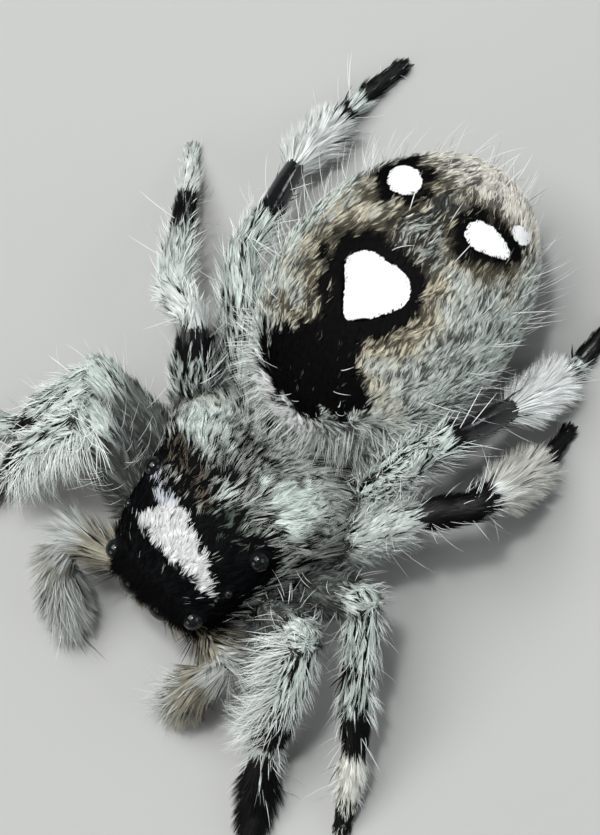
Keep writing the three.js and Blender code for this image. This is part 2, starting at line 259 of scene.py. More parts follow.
def waves(points, size, seed, count=10):
    """A soft random pattern of about the given size in millimetres, from -1 to 1 for the most part."""
    rng = np.random.default_rng(seed)
    ways = unit(rng.normal(size=(count, 3))) * (2 * math.pi / size) * rng.uniform(0.6, 1.5, (count, 1))
    return np.sin(points @ ways.T + rng.uniform(0, 2 * math.pi, count)).sum(1) / math.sqrt(count / 2)


def in_model(points):
    """From millimetres in the body's frame to metres in the model's frame."""
    return (np.asarray(points) + SHIFT) * MM


def add_object(name, mesh):
    """A mesh as a piece of the spider, at the origin."""
    piece = bpy.data.objects.new(name, mesh)
    bpy.context.scene.collection.objects.link(piece)
    return piece


def finish_piece(piece, replaced=()):
    """Fixes a piece to the still body and hides the solids that it stands for."""
    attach(piece, "root")
    if replaced:
        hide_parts(*replaced)
    return piece


def piece_from(bm, name):
    """A finished bmesh in body millimetres as a smooth-shaded piece in metres."""
    bmesh.ops.translate(bm, verts=bm.verts, vec=Vector(SHIFT))
    bmesh.ops.scale(bm, verts=bm.verts, vec=(MM, MM, MM))
    mesh = bpy.data.meshes.new(name)
    bm.to_mesh(mesh)
    bm.free()
    mesh.shade_smooth()
    return add_object(name, mesh)


def mesh_of_triangles(name, points, triangles):
    """A smooth-shaded mesh from joined arrays, in metres."""
    mesh = bpy.data.meshes.new(name)
    mesh.vertices.add(len(points))
    mesh.vertices.foreach_set("co", np.ascontiguousarray(points, dtype=np.float32).ravel())
    mesh.loops.add(triangles.size)
    mesh.loops.foreach_set("vertex_index", np.ascontiguousarray(triangles, dtype=np.int32).ravel())
    mesh.polygons.add(len(triangles))
    mesh.polygons.foreach_set("loop_start", np.arange(0, triangles.size, 3, dtype=np.int32))
    mesh.update(calc_edges=True)
    mesh.shade_smooth()
    return mesh


def points_of(mesh):
    """The mesh's points, in body millimetres."""
    found = np.empty(len(mesh.vertices) * 3, dtype=np.float32)
    mesh.vertices.foreach_get("co", found)
    return found.reshape(-1, 3).astype(float) / MM - SHIFT


def normals_of(mesh):
    """The way that the mesh faces at each point."""
    found = np.empty(len(mesh.vertices) * 3, dtype=np.float32)
    mesh.vertex_normals.foreach_get("vector", found)
    return found.reshape(-1, 3).astype(float)


def triangles_of(mesh):
    """The mesh's triangles, as rows of three points."""
    mesh.calc_loop_triangles()
    found = np.empty(len(mesh.loop_triangles) * 3, dtype=np.int32)
    mesh.loop_triangles.foreach_get("vertices", found)
    return found.reshape(-1, 3)


def paint(mesh, name, colour):
    """A colour for each point of a mesh."""
    rows = np.ones((len(mesh.vertices), 4), dtype=np.float32)
    rows[:, :3] = colour
    layer = mesh.color_attributes.new(name=name, type="FLOAT_COLOR", domain="POINT")
    layer.data.foreach_set("color", rows.ravel())


# ---------- shapes of the body ----------


def along_shield(y, column):
    """A size of the shield at y, eased between its stations."""
    places = SHIELD_STATIONS[:, 0]
    values = SHIELD_STATIONS[:, column]
    return np.mean([np.interp(y + step, places, values) for step in np.linspace(-0.32, 0.32, 9)], axis=0)


def shield_points(ball, grow=0.0):
    """Points of a unit ball moved onto the shield: blunt in front, squared in section, flat below."""
    ahead = np.clip(-ball[:, 1], -1, 1)
    full = np.where(ahead > 0, np.sqrt(1 - ahead**2) ** 0.34, np.sqrt(1 - ahead**2) ** 0.6)
    radius = np.maximum(np.hypot(ball[:, 0], ball[:, 2]), 1e-9)
    across = powered(ball[:, 0] / radius, 0.74)
    up = powered(ball[:, 2] / radius, 0.74)
    half_length = (SHIELD_REAR - SHIELD_FRONT) / 2 + grow
    y = (SHIELD_FRONT + SHIELD_REAR) / 2 - half_length * powered(ahead, 0.6)
    crown = along_shield(y, 2) - SHIELD_WIDEST
    height = np.where(up > 0, crown, SHIELD_WIDEST - SHIELD_FLOOR) + grow
    x = (along_shield(y, 1) + grow) * full * across
    return np.stack([x, y, SHIELD_WIDEST + height * full * up], 1)


def abdomen_points(ball, grow=0.0):
    """Points of a unit ball moved onto the abdomen, an egg that droops towards the spinnerets."""
    back = np.clip(ball[:, 1], -1, 1)
    height = np.where(ball[:, 2] > 0, ABDOMEN_RISE, ABDOMEN_DROP) * (1 - 0.08 * back) + grow
    x = (ABDOMEN_HALF_WIDTH + grow) * (1 - 0.05 * back) * ball[:, 0]
    y = (ABDOMEN_HALF_LENGTH + grow) * back
    z = height * ball[:, 2] - 0.22 * back * (1 + back) / 2
    swing = np.array(Matrix.Rotation(ABDOMEN_SWING, 3, "Z"))
    return np.stack([x, y, z], 1) @ swing.T + ABDOMEN_CENTRE


def on_abdomen(points):
    """Places on the abdomen: from its middle in its own turn, round it, along it and the distance outside it."""
    swing = np.array(Matrix.Rotation(ABDOMEN_SWING, 3, "Z"))
    own = (points - ABDOMEN_CENTRE) @ swing
    back = np.clip(own[:, 1] / ABDOMEN_HALF_LENGTH, -1, 1)
    rise = own[:, 2] + 0.22 * back * (1 + back) / 2
    height = np.where(rise > 0, ABDOMEN_RISE, ABDOMEN_DROP) * (1 - 0.08 * back)
    width = ABDOMEN_HALF_WIDTH * (1 - 0.05 * back)
    reach = np.sqrt((own[:, 0] / width) ** 2 + back**2 + (rise / height) ** 2)
    around = np.arctan2(rise / height, own[:, 0] / width)
    return SimpleNamespace(own=own, around=around, back=back, gap=(reach - 1) * 3.2)


def eye_balls():
    """The middle and the radius of every eye."""
    return [(np.array(middle) * (side, 1, 1), radius) for radius, middle in EYES.values() for side in (1, -1)]


def heading(turn, lift, side):
    """A unit vector from a heading and a slope in degrees, on the left (1) or right (-1) side."""
    turn, lift = math.radians(turn), math.radians(lift)
    return np.array([side * math.cos(lift) * math.cos(turn), math.cos(lift) * math.sin(turn), math.sin(lift)])


def joints_of(root, lengths, turns, lifts, side):
    """The joints of a limb from its root to its tip; a last length without a slope comes down on the floor."""
    joints = [np.array(root, float) * (side, 1, 1)]
    for i, length in enumerate(lengths):
        drop = (FOOT_TIP_HEIGHT - joints[-1][2]) / length
        lift = lifts[i] if i < len(lifts) else math.degrees(math.asin(drop))
        joints.append(joints[-1] + length * heading(turns[i], lift, side))
    return joints


def limbs():
    """Every limb: its name, its joints, and for each length the three radii of its skin."""
    found = []
    for name, (turns, lifts) in LEG_POSES.items():
        side = 1 if name.endswith("left") else -1
        hip, root, lengths, stout = LEG_PAIRS[int(name[3]) - 1]
        joints = [np.array(root) * (side, 1, 1)] + joints_of(hip, lengths, turns, lifts, side)
        girths = [(COXA_RADIUS * 0.9, COXA_RADIUS, LEG_GIRTHS[0][0] * stout)]
        girths += [tuple(r * stout for r in girth) for girth in LEG_GIRTHS]
        skin = [tuple(r - depth for r in girth) for girth, depth in zip(girths, LEG_COAT_DEPTHS)]
        found.append((name, joints, skin))
    for name, (turns, lifts) in PALP_POSES.items():
        side = 1 if name.endswith("left") else -1
        joints = joints_of(PALP_ROOT, PALP_LENGTHS, turns, lifts, side)
        found.append((name, joints, [tuple(r - PALP_COAT_DEPTH for r in girth) for girth in PALP_GIRTHS]))
    return found


def radius_along(girth, t):
    """The radius of a length at t from 0 to 1, through its start, belly and end."""
    start, belly, end = girth
    rise = start + (belly - start) * np.sin(np.clip(t / 0.4, 0, 1) * math.pi / 2)
    fall = belly + (end - belly) * (1 - np.cos(np.clip((t - 0.4) / 0.6, 0, 1) * math.pi / 2))
    return np.where(np.asarray(t) < 0.4, rise, fall)


LIMBS = limbs()


def on_limbs(points):
    """Places on the limbs: for each point the nearest limb and length, whether it is a palp, the way along the limb in
    lengths, the way out, the turn round it and the distance outside it."""
    best = np.full(len(points), 1e9)
    limb = np.zeros(len(points), int)
    length = np.zeros(len(points), int)
    share = np.zeros(len(points))
    axis = np.zeros((len(points), 3))
    around = np.zeros(len(points))
    for i, (_, joints, girths) in enumerate(LIMBS):
        for k, girth in enumerate(girths):
            start, way = joints[k], joints[k + 1] - joints[k]
            t = np.clip((points - start) @ way / (way @ way), 0, 1)
            off = points - start - t[:, None] * way
            gap = np.linalg.norm(off, axis=1) - radius_along(girth, t)
            nearer = gap < best
            best = np.where(nearer, gap, best)
            limb[nearer], length[nearer], share[nearer] = i, k, t[nearer]
            ahead = unit(way)
            axis[nearer] = ahead
            # The turn round is measured from the top of the limb.
            top = unit(np.array([0, 0, 1.0]) - ahead[2] * ahead)
            beside = np.cross(ahead, top)
            around[nearer] = np.arctan2(off[nearer] @ beside, off[nearer] @ top)
    return SimpleNamespace(
        limb=limb, length=length, palp=limb >= 8, along=length + share, axis=axis, around=around, gap=best
    )


# ---------- bmesh shapes ----------


def settle(bm):
    """Puts the faces in a fixed order, so that a piece and the roots of its hair are the same each time."""
    bm.verts.index_update()
    bm.faces.sort(key=lambda face: face.verts[0].index * len(bm.verts) + face.verts[1].index)


def ball_into(bm, rule, around, lengthwise):
    """A ball with its poles to front and rear, its points moved by a rule for arrays of points."""
    made = bmesh.ops.create_uvsphere(bm, u_segments=around, v_segments=lengthwise, radius=1.0)["verts"]
    bmesh.ops.rotate(bm, verts=made, cent=(0, 0, 0), matrix=Matrix.Rotation(math.pi / 2, 3, "X"))
    moved = rule(np.array([v.co for v in made]))
    for vert, place in zip(made, moved):
        vert.co = place
    settle(bm)
    return made


def egg_into(bm, centre, half, around=20, lengthwise=14):
    """An egg from its middle and its half sizes."""
    return ball_into(bm, lambda ball: ball * half + centre, around, lengthwise)


def turned_into(bm, profile, steps, start, way):
    """A profile of (radius, height) spun round an axis that starts at a point and runs along a way."""
    bench = bmesh.new()
    verts = [bench.verts.new((radius, 0, height)) for radius, height in profile]
    edges = [bench.edges.new(pair) for pair in zip(verts, verts[1:])]
    bmesh.ops.spin(
        bench, geom=verts + edges, cent=(0, 0, 0), axis=(0, 0, 1), angle=math.tau, steps=steps, use_merge=True
    )
    bmesh.ops.remove_doubles(bench, verts=bench.verts, dist=1e-5)
    bmesh.ops.recalc_face_normals(bench, faces=bench.faces)
    settle(bench)
    turn = Vector((0, 0, 1)).rotation_difference(Vector(way)).to_matrix().to_4x4()
    bmesh.ops.transform(bench, matrix=Matrix.Translation(Vector(start)) @ turn, verts=bench.verts)
    holder = bpy.data.meshes.new("turned")
    bench.to_mesh(holder)
    bench.free()
    before = set(bm.verts)
    bm.from_mesh(holder)
    bpy.data.meshes.remove(holder)
    return [v for v in bm.verts if v not in before]


def limb_into(bm, start, end, girth, steps=16):
    """One length of a limb, with round ends centred on its joints."""
    length = float(np.linalg.norm(end - start))
    corner = [math.radians(a) for a in (90, 60, 30)]
    profile = [(girth[0] * math.cos(a), -girth[0] * math.sin(a)) for a in corner]
    profile += [(float(radius_along(girth, t)), t * length) for t in np.linspace(0, 1, 11)]
    profile += [(girth[2] * math.cos(a), length + girth[2] * math.sin(a)) for a in reversed(corner)]
    return turned_into(bm, profile, steps, start, end - start)


def soften(bm):
    """Moves every point half the way to the middle of its neighbours."""
    bmesh.ops.smooth_vert(bm, verts=bm.verts, factor=0.5, use_axis_x=True, use_axis_y=True, use_axis_z=True)


# ---------- markings ----------


def rounded(*outline):
    """An outline with its corners cut twice."""
    outline = np.array(outline)
    for _ in range(2):
        after = np.roll(outline, -1, axis=0)
        outline = np.stack([0.75 * outline + 0.25 * after, 0.25 * outline + 0.75 * after], 1).reshape(-1, 2)
    return outline


# White spots of the abdomen, as outlines seen from above: x and y.
WHITE_SPOTS = (
    # A round-cornered triangle in the middle, with its point to the front.
    rounded(
        (-1.02, 6.68), (-1.2, 6.96), (-1.13, 7.2), (-0.8, 7.5), (-0.44, 7.46), (0.06, 7.58), (0.42, 7.48),
        (0.6, 7.29), (0.7, 7.03), (0.64, 6.76), (0.36, 6.33), (0.0, 5.9), (-0.25, 5.8), (-0.62, 6.24),
    ),
    # A pair of ovals near the rear.
    rounded(
        (-2.1, 9.22), (-2.25, 9.5), (-1.98, 9.76), (-1.58, 9.78), (-1.22, 9.6), (-1.12, 9.3), (-1.27, 9.05),
        (-1.58, 8.97), (-1.9, 9.04),
    ),
    rounded(
        (0.5, 9.27), (0.33, 9.54), (0.44, 9.79), (0.85, 9.9), (1.27, 9.84), (1.55, 9.71), (1.56, 9.48),
        (1.21, 9.27), (0.8, 9.15),
    ),
    # A pair of small ones over the spinnerets.
    rounded((1.04, 10.28), (1.12, 10.48), (1.4, 10.45), (1.57, 10.2), (1.44, 10.04), (1.22, 10.1)),
    rounded((-1.82, 10.5), (-1.92, 10.66), (-2.19, 10.57), (-2.33, 10.34), (-2.16, 10.22), (-1.96, 10.26)),
)
# The width of the black ring round each of the three big spots.
BLACK_RING = 0.17
# The velvet black of the abdomen: one patch from its front to round the middle spot, and a patch round each rear spot.
BLACK_PATCHES = (
    np.array([
        (-1.88, 4.31), (-1.83, 4.6), (-1.1, 4.88), (-0.75, 5.3), (-0.85, 5.6), (-1.17, 5.92), (-1.63, 6.47),
        (-1.8, 7.01), (-1.65, 7.5), (-1.2, 7.75), (-0.72, 7.86), (-0.2, 7.9), (0.21, 7.92), (0.83, 7.58),
        (1.05, 7.03), (1.08, 6.56), (0.88, 6.06), (0.5, 5.62), (0.42, 5.35), (0.65, 5.09), (1.11, 4.89),
        (1.47, 4.63), (1.35, 4.3), (1.11, 4.08), (0.6, 3.7), (0.14, 3.5), (-0.55, 3.4), (-1.2, 3.6), (-1.72, 3.95),
    ]),
    np.array([
        (-2.4, 9.2), (-2.16, 8.86), (-1.63, 8.68), (-1.06, 8.85), (-0.88, 9.4), (-1.1, 9.85), (-1.6, 10.02),
        (-2.1, 10.0), (-2.42, 9.6),
    ]),
    np.array([
        (0.12, 9.3), (0.3, 8.98), (0.66, 8.8), (1.18, 8.92), (1.66, 9.3), (1.75, 9.75), (1.3, 10.05), (0.62, 10.12),
        (0.16, 9.85),
    ]),
)
# The brown haze between and behind the black patches, the tan on the right side, and where grey scales sparkle.
BETWEEN = np.array([
    (-0.95, 8.96), (-0.7, 9.5), (-0.2, 9.8), (0.15, 9.4), (0.42, 8.7), (0.5, 8.2), (0.25, 7.85), (-0.7, 7.85),
    (-0.95, 8.3),
])
REAR_HAZE = np.array([(-1.3, 9.9), (-0.95, 10.3), (-0.2, 10.4), (0.35, 10.1), (0.15, 9.5), (-0.3, 9.3), (-0.95, 9.3)])
TAN_SIDE = np.array([(-2.5, 6.0), (-2.6, 8.8), (-1.2, 8.6), (-1.2, 6.0)])
SPARKLES = np.array([(-0.77, 8.47), (-0.5, 9.0), (0.03, 8.99), (0.45, 8.58), (0.41, 7.97), (-0.03, 7.85), (-0.5, 8.0)])
# Short strokes on the abdomen: two ends, half width, and which hair fills them.
STROKES = (
    ((2.44, 7.6, 5.09), (2.54, 8.4, 4.61), 0.1, "black_hair"),
    ((2.65, 7.4, 4.81), (2.76, 8.28, 4.26), 0.1, "white_scale"),
    ((-2.9, 7.6, 4.95), (-3.0, 8.35, 4.55), 0.1, "black_hair"),
    ((-3.1, 7.5, 4.65), (-3.2, 8.3, 4.2), 0.1, "white_scale"),
    ((-1.2, 5.1, 6.1), (-0.66, 4.68, 5.9), 0.06, "grey_hair"),
)

# The white band across the head, with its branch towards the right rear eye.
HEAD_BAND = np.array([
    (-1.22, -1.16), (-1.12, -0.92), (-0.98, -0.7), (-1.14, -0.45), (-1.5, -0.24), (-1.74, -0.1), (-1.62, -0.02),
    (-1.28, -0.1), (-0.97, -0.17), (-0.5, -0.27), (-0.06, -0.43), (0.38, -0.63), (0.74, -0.8), (1.08, -0.98),
    (1.35, -1.2), (1.52, -1.38), (1.4, -1.5), (1.18, -1.5), (0.82, -1.45), (0.44, -1.42), (-0.02, -1.38),
    (-0.48, -1.35), (-0.92, -1.34),
])
# The pale saddle in the middle of the thorax, and the pale bands at its two sides and on its rear slope.
SADDLE = np.array([(-0.16, 0.54), (-0.05, 0.85), (0.3, 1.0), (0.53, 0.78), (0.3, 0.42), (0.02, 0.36)])
SIDE_BAND = np.array([
    (0.6, 1.34), (0.79, 1.71), (1.32, 2.0), (1.85, 2.05), (2.3, 1.5), (2.3, 0.95), (1.8, 0.95), (1.17, 1.1),
])
REAR_SLOPE = np.array([(-1.79, 1.19), (-1.74, 1.62), (-1.2, 1.95), (-0.91, 1.61), (-0.96, 1.12), (-1.39, 1.0)])
# The dim middle between head band and saddle, and the brown of the right side behind the band's branch.
DARK_MIDDLE = np.array([
    (-0.11, 0.25), (0.16, 0.32), (0.53, 0.75), (1.05, 0.79), (1.42, 0.47), (1.5, 0.06), (1.21, -0.27), (0.83, -0.47),
    (0.37, -0.3), (-0.01, -0.14),
])
BROWN_SIDE = np.array([
    (-2.1, 0.5), (-1.9, 0.95), (-1.39, 1.0), (-0.82, 0.98), (-0.3, 0.5), (-0.02, 0.2), (-0.15, -0.1), (-0.78, 0.02),
    (-1.34, 0.21),
])


def outside(outline, points):
    """How far points of a plane lie outside a closed outline, and below 0 inside it."""
    away = np.full(len(points), 1e9)
    inside = np.zeros(len(points), bool)
    for a, b in zip(outline, np.roll(outline, -1, axis=0)):
        way = b - a
        t = np.clip((points - a) @ way / (way @ way), 0, 1)
        away = np.minimum(away, np.linalg.norm(points - a - t[:, None] * way, axis=1))
        crosses = (a[1] > points[:, 1]) != (b[1] > points[:, 1])
        slope = (b[0] - a[0]) / (b[1] - a[1] if b[1] != a[1] else 1e-12)
        inside ^= crosses & (points[:, 0] < a[0] + slope * (points[:, 1] - a[1]))
    return np.where(inside, -away, away)


def within(outline, points, soft):
    """1 inside an outline seen from above and 0 outside it, with a soft ragged edge."""
    ragged = soft * waves(points, 0.45, 25)
    return 1 - smoothstep(-soft, soft, outside(outline, points[:, :2]) + ragged)


def white_of_abdomen(points):
    """How far points lie outside the white spots of the abdomen, in millimetres."""
    away = np.min([outside(spot, points[:, :2]) for spot in WHITE_SPOTS], axis=0)
    return np.where(points[:, 2] > 3.6, away, 9.0) + 0.012 * waves(points, 0.3, 11)


def black_of_abdomen(points):
    """How far points lie outside the black of the abdomen, in millimetres."""
    away = np.min([outside(patch, points[:, :2]) for patch in BLACK_PATCHES], axis=0)
    ring = np.min([outside(spot, points[:, :2]) for spot in WHITE_SPOTS[:3]], axis=0)
    away = np.minimum(away, ring - BLACK_RING)
    # The edge is the most ragged in front of the middle spot, on the right side.
    ragged = 1 + 0.9 * smoothstep(-0.4, -1.1, points[:, 0]) * smoothstep(7.6, 6.9, points[:, 1])
    noise = 0.07 * waves(points, 0.6, 12) + 0.05 * waves(points, 0.2, 13)
    return np.where(points[:, 2] > 3.8, away, 9.0) + ragged * noise


def behind_collar(points):
    """How far points lie behind the front edge of the abdomen."""
    return points[:, 1] - COLLAR_Y - COLLAR_BEND * (points[:, 0] - COLLAR_X) ** 2


def collar(points):
    """1 in the pale collar at the front of the abdomen."""
    return smoothstep(0.35, -0.05, behind_collar(points)) * smoothstep(4.9, 3.9, points[:, 1])


def bright_front(points):
    """1 in the bright middle of the collar."""
    return plateau(-1.9, -0.9, 0.1, 0.9, points[:, 0])


def abdomen_markings(points):
    """The coat's colour on the abdomen, its share of dark hairs and how black those are."""
    c = hues()
    x, y, z = points.T
    white = (white_of_abdomen(points) < 0).astype(float)
    edge = black_of_abdomen(points)
    mottle = 0.12 * waves(points, 1.1, 14)
    high = smoothstep(3.9, 4.8, z)
    tan = (1 - smoothstep(0.1, 0.9, edge + mottle)) * high * smoothstep(4.4, 5.2, y)
    tan = np.maximum(tan, smoothstep(9.7, 10.4, y + mottle) * smoothstep(2.9, 4.0, z) * 0.7)
    tan = np.maximum(tan, 0.8 * high * within(TAN_SIDE, points, 0.3))
    colour = mixed(c.grey_hair, c.tan_hair, np.clip(tan, 0, 1) * 0.8)
    # Palest in the collar at the front edge, low on the sides and at the very rear.
    front = collar(points)
    side = smoothstep(1.9, 2.9, np.abs(x + 0.2)) * smoothstep(1.6, 2.6, z)
    colour = mixed(colour, c.pale_hair, np.clip(front + 0.45 * side, 0, 1) * (1 - 0.8 * tan))
    colour = mixed(colour, c.white_scale, 0.25 * front)
    rim = smoothstep(9.9, 10.6, y + 0.5 * mottle) * smoothstep(2.4, 3.4, z)
    colour = mixed(colour, mixed(c.white_scale, c.tan_hair, 0.45), rim * 0.9)
    colour = mixed(colour, c.under_hair, smoothstep(2.6, 1.6, z))
    # Dark hairs thin out away from the black, where they are brown.
    dark = 0.36 + (0.3 * smoothstep(0.3, 1.2, x) - 0.17) * front - 0.12 * smoothstep(9.9, 10.6, y)
    dark = dark + 0.1 * waves(points, 0.9, 17)
    near = np.where((x > 0.2) & (y < 8.5), 0.35, 0.68)
    dark = dark + (0.42 * tan + 0.1) * (1 - smoothstep(0.0, near, edge + mottle)) * near / 0.7
    haze = within(BETWEEN, points, 0.15) * high
    dark = np.maximum(dark, np.maximum(0.87 * haze, 0.76 * within(REAR_HAZE, points, 0.2) * high))
    black = np.maximum(1 - smoothstep(-0.06, 0.22, edge), 0.65 * haze)
    dark = np.where(edge < 0, 0.97, np.clip(dark, 0.04, 0.9))
    sparkle = (outside(SPARKLES, points[:, :2]) < 0) & (waves(points, 0.17, 16) > 0.5) & (z > 4)
    dark = np.where(sparkle, 0.2, dark)
    colour = np.where(sparkle[:, None], c.grey_hair, colour)
    for start, end, half, hair in STROKES:
        start, way = np.array(start), np.array(end) - start
        t = np.clip((points - start) @ way / (way @ way), 0, 1)
        stroke = np.linalg.norm(points - start - t[:, None] * way, axis=1) < half + 0.02 * waves(points, 0.2, 15)
        colour = np.where(stroke[:, None], getattr(c, hair), colour)
        black = np.where(stroke & (hair == "black_hair"), 1.0, black)
        dark = np.where(stroke, 0.97 if hair == "black_hair" else 0.1, dark)
    colour = mixed(colour, c.white_scale, white)
    return colour, dark * (1 - white), black


def shield_markings(points):
    """The coat's colour on the head shield, its share of pale locks, how white it is and how thick it stands."""
    c = hues()
    x, y, z = points.T
    ragged = 0.06 * waves(points, 0.4, 21) + 0.045 * waves(points, 0.14, 22)
    band = outside(HEAD_BAND, points[:, :2]) + ragged
    white = (1 - smoothstep(-0.02, 0.05, band)) * (z > 3.9)
    # The branch and the rear edge are streaky; the middle of the band is the whitest.
    branch = smoothstep(-0.15, 0.15, y - 0.34 - 0.97 * x)
    rear_edge = smoothstep(-0.3, 0.0, band) * (y + 0.35 * x > -0.8)
    mirrored = points * (-1, 1, 1)
    thorax = smoothstep(-0.6, 0.3, y)
    low = smoothstep(3.95, 3.4, z - 0.35 * smoothstep(-0.6, 0.6, y)) * smoothstep(-1.7, -0.9, y)
    bright = (within(SIDE_BAND, points, 0.12) + 0.8 * within(SIDE_BAND, mirrored, 0.12)).clip(0, 1)
    bright = bright * smoothstep(2.25, 1.95, np.abs(x))
    slope = within(REAR_SLOPE, points, 0.15)
    saddle = within(SADDLE, points, 0.08)
    middle = within(DARK_MIDDLE, points, 0.12) * (1 - saddle)
    brown = within(BROWN_SIDE, points, 0.12)
    # Black round the rear eyes.
    near_eye = np.minimum(np.hypot(x - 1.9, y + 0.1), np.hypot(x + 1.95, y + 0.1))
    pale = 0.04 + 0.36 * thorax + 0.42 * bright + 0.06 * slope + 0.35 * saddle + 0.35 * low * (1 - 0.4 * thorax)
    pale = np.clip(pale * (1 - 0.3 * brown) * smoothstep(0.25, 0.75, near_eye + 0.5 * low), 0.03, 0.8)
    pale = np.maximum(pale, white * (0.97 - 0.14 * branch - 0.25 * rear_edge))
    thick = np.clip(0.35 + 0.6 * thorax + 0.5 * bright + 0.65 * low, 0, 1)
    thick = np.clip(np.maximum(thick, white), 0, 1)
    clear = (bright + 0.2 * slope + 0.7 * saddle).clip(0, 1)
    colour = mixed(c.grey_hair * 0.75, c.pale_hair, clear)
    colour = mixed(colour, c.grey_hair, 0.6 * low * (1 - bright))
    colour = mixed(colour, c.grey_hair * (0.09, 0.12, 0.1), 0.9 * middle)
    colour = mixed(colour, c.tan_hair * (0.2, 0.16, 0.15), 0.85 * brown)
    colour = mixed(colour, mixed(c.white_scale, c.blue_scale, branch), white)
    return colour, pale, white, thick


# The share of pale locks along each leg: femur 1 to 2, patella 2 to 3, tibia 3 to 4, metatarsus 4 to 5, tarsus 5 to 6.
LEG_PALENESS = {
    "leg1_left": ((0, 0.3), (1, 0.3), (1.9, 0.4), (1.95, 0.88), (1.99, 0.88), (2.03, 0.7), (3.05, 0.62), (3.12, 0.4),
                  (3.4, 0.3), (3.47, 0.03), (3.93, 0.03), (4.0, 0.9), (4.2, 0.8), (4.28, 0.06), (5.6, 0.05), (6, 0.15)),
    "leg1_right": ((0, 0.3), (1, 0.35), (1.85, 0.45), (1.95, 0.84), (2.02, 0.84), (2.08, 0.72), (3.3, 0.62), (3.5, 0.1),
                   (3.9, 0.05), (4.0, 0.8), (4.2, 0.7), (4.3, 0.06), (5.6, 0.05), (6, 0.15)),
    "leg2_left": ((0, 0.3), (1, 0.35), (1.85, 0.4), (1.93, 0.85), (1.98, 0.85), (2.03, 0.74), (2.9, 0.66),
                  (2.97, 0.15), (3.15, 0.2), (3.22, 0.6), (3.55, 0.45), (3.62, 0.04), (4.2, 0.04), (4.3, 0.96),
                  (5.0, 0.92), (5.1, 0.5), (5.4, 0.4), (5.5, 0.1), (6, 0.2)),
    "leg2_right": ((0, 0.3), (1, 0.35), (1.75, 0.5), (1.9, 0.8), (2.06, 0.8), (2.9, 0.62), (3.5, 0.5),
                   (3.7, 0.1), (4.2, 0.1), (4.3, 0.8), (5, 0.8), (5.5, 0.2), (6, 0.2)),
    "leg3_left": ((0, 0.35), (1, 0.84), (2.2, 0.86), (2.28, 0.08), (3.55, 0.05), (3.62, 0.97), (4.9, 0.92),
                  (5.0, 0.1), (5.08, 0.6), (5.2, 0.08), (6, 0.08)),
    "leg3_right": ((0, 0.35), (1, 0.42), (1.6, 0.4), (1.72, 0.1), (1.95, 0.2), (2.05, 0.9), (3.95, 0.84), (4.15, 0.1),
                   (4.8, 0.12), (4.86, 0.92), (6, 0.85)),
    "leg4_left": ((0, 0.3), (1, 0.56), (2.5, 0.62), (2.58, 0.04), (3.7, 0.03), (3.78, 0.97), (4.65, 0.94),
                  (4.71, 0.06), (4.86, 0.06), (4.92, 0.85), (5.1, 0.8), (5.18, 0.06), (6, 0.06)),
    "leg4_right": ((0, 0.35), (1, 0.5), (1.7, 0.55), (1.8, 0.78), (2.9, 0.76), (3.0, 0.04), (3.8, 0.03), (3.87, 0.97),
                   (4.6, 0.94), (4.66, 0.05), (4.84, 0.05), (4.88, 0.88), (5.06, 0.8), (5.12, 0.05), (6, 0.05)),
    "palp_left": ((0, 0.55), (0.9, 0.6), (1.05, 1), (1.8, 0.95), (2, 0.75), (4, 0.85)),
    "palp_right": ((0, 0.6), (0.9, 0.7), (1.05, 1), (1.8, 0.95), (2, 0.85), (4, 0.9)),
}
# How bright the pale hair is on each limb, partly painted light and shade as each limb is lit: four left legs, four
# right legs, two palps.
LIMB_BRIGHTNESS = (1.0, 0.95, 0.82, 1.15, 1.0, 1.0, 0.8, 0.95, 1.0, 1.0)
# Stretches of leg that are bare and glossy: leg, start and end.
BARE_STRETCHES = (("leg4_left", 2.6, 3.72), ("leg4_right", 3.02, 3.82), ("leg3_right", 1.72, 1.93))


def streaks(around, along, limb, seed, count=10):
    """A pattern of streaks about a tenth of a millimetre wide that run down the limbs, mostly from -1 to 1."""
    rng = np.random.default_rng(seed)
    total = np.zeros(len(around))
    for turns in rng.integers(8, 22, count):
        drift, start, step = rng.normal(0, 0.7), rng.uniform(0, math.tau), rng.uniform(1, 5)
        total += np.sin(turns * around + drift * along + start + step * limb)
    return total / math.sqrt(count / 2)


def leg_markings(limb, along):
    """The share of pale locks at places along the limbs, and how bare the shell is there."""
    pale = np.zeros(len(limb))
    bare = np.zeros(len(limb))
    for i, (name, _, _) in enumerate(LIMBS):
        here = limb == i
        stops = np.array(LEG_PALENESS[name])
        pale[here] = np.interp(along[here], stops[:, 0], stops[:, 1])
        for leg, start, end in BARE_STRETCHES:
            if leg == name:
                bare[here] = plateau(start - 0.05, start + 0.05, end - 0.05, end + 0.05, along[here])
    return pale, bare


def dim_femur(at, start, end):
    """1 on the femora of the first two pairs of legs, where pale hair is thin and the coat is darker and greyer, partly
    by painted shade; falls from start to end.
    """
    return (at.limb % 4 < 2) * ~at.palp * smoothstep(end, start, at.along)


# ---------- materials ----------


def new_material(name):
    """An empty node material."""
    material = bpy.data.materials.new(name)
    material.use_nodes = True
    material.node_tree.nodes.clear()
    return material


def add_node(material, kind, settings=None, links=None, **inputs):
    """A node with its settings, its socket values and the links that feed it."""
    node = material.node_tree.nodes.new(kind)
    for key, value in (settings or {}).items():
        setattr(node, key, value)
    for key, value in inputs.items():
        node.inputs[key.replace("_", " ")].default_value = value
    for key, socket in (links or {}).items():
        material.node_tree.links.new(socket, node.inputs[key])
    return node


def clouds(m, scale, detail):
    """Soft random clouds in the object's own space."""
    place = add_node(m, "ShaderNodeTexCoord").outputs["Object"]
    return add_node(m, "ShaderNodeTexNoise", {}, {"Vector": place}, Scale=scale, Detail=detail).outputs["Fac"]


def spread(m, value, low, high, **limits):
    """A value spread from low to high."""
    return add_node(m, "ShaderNodeMapRange", {}, {"Value": value}, To_Min=low, To_Max=high, **limits).outputs["Result"]


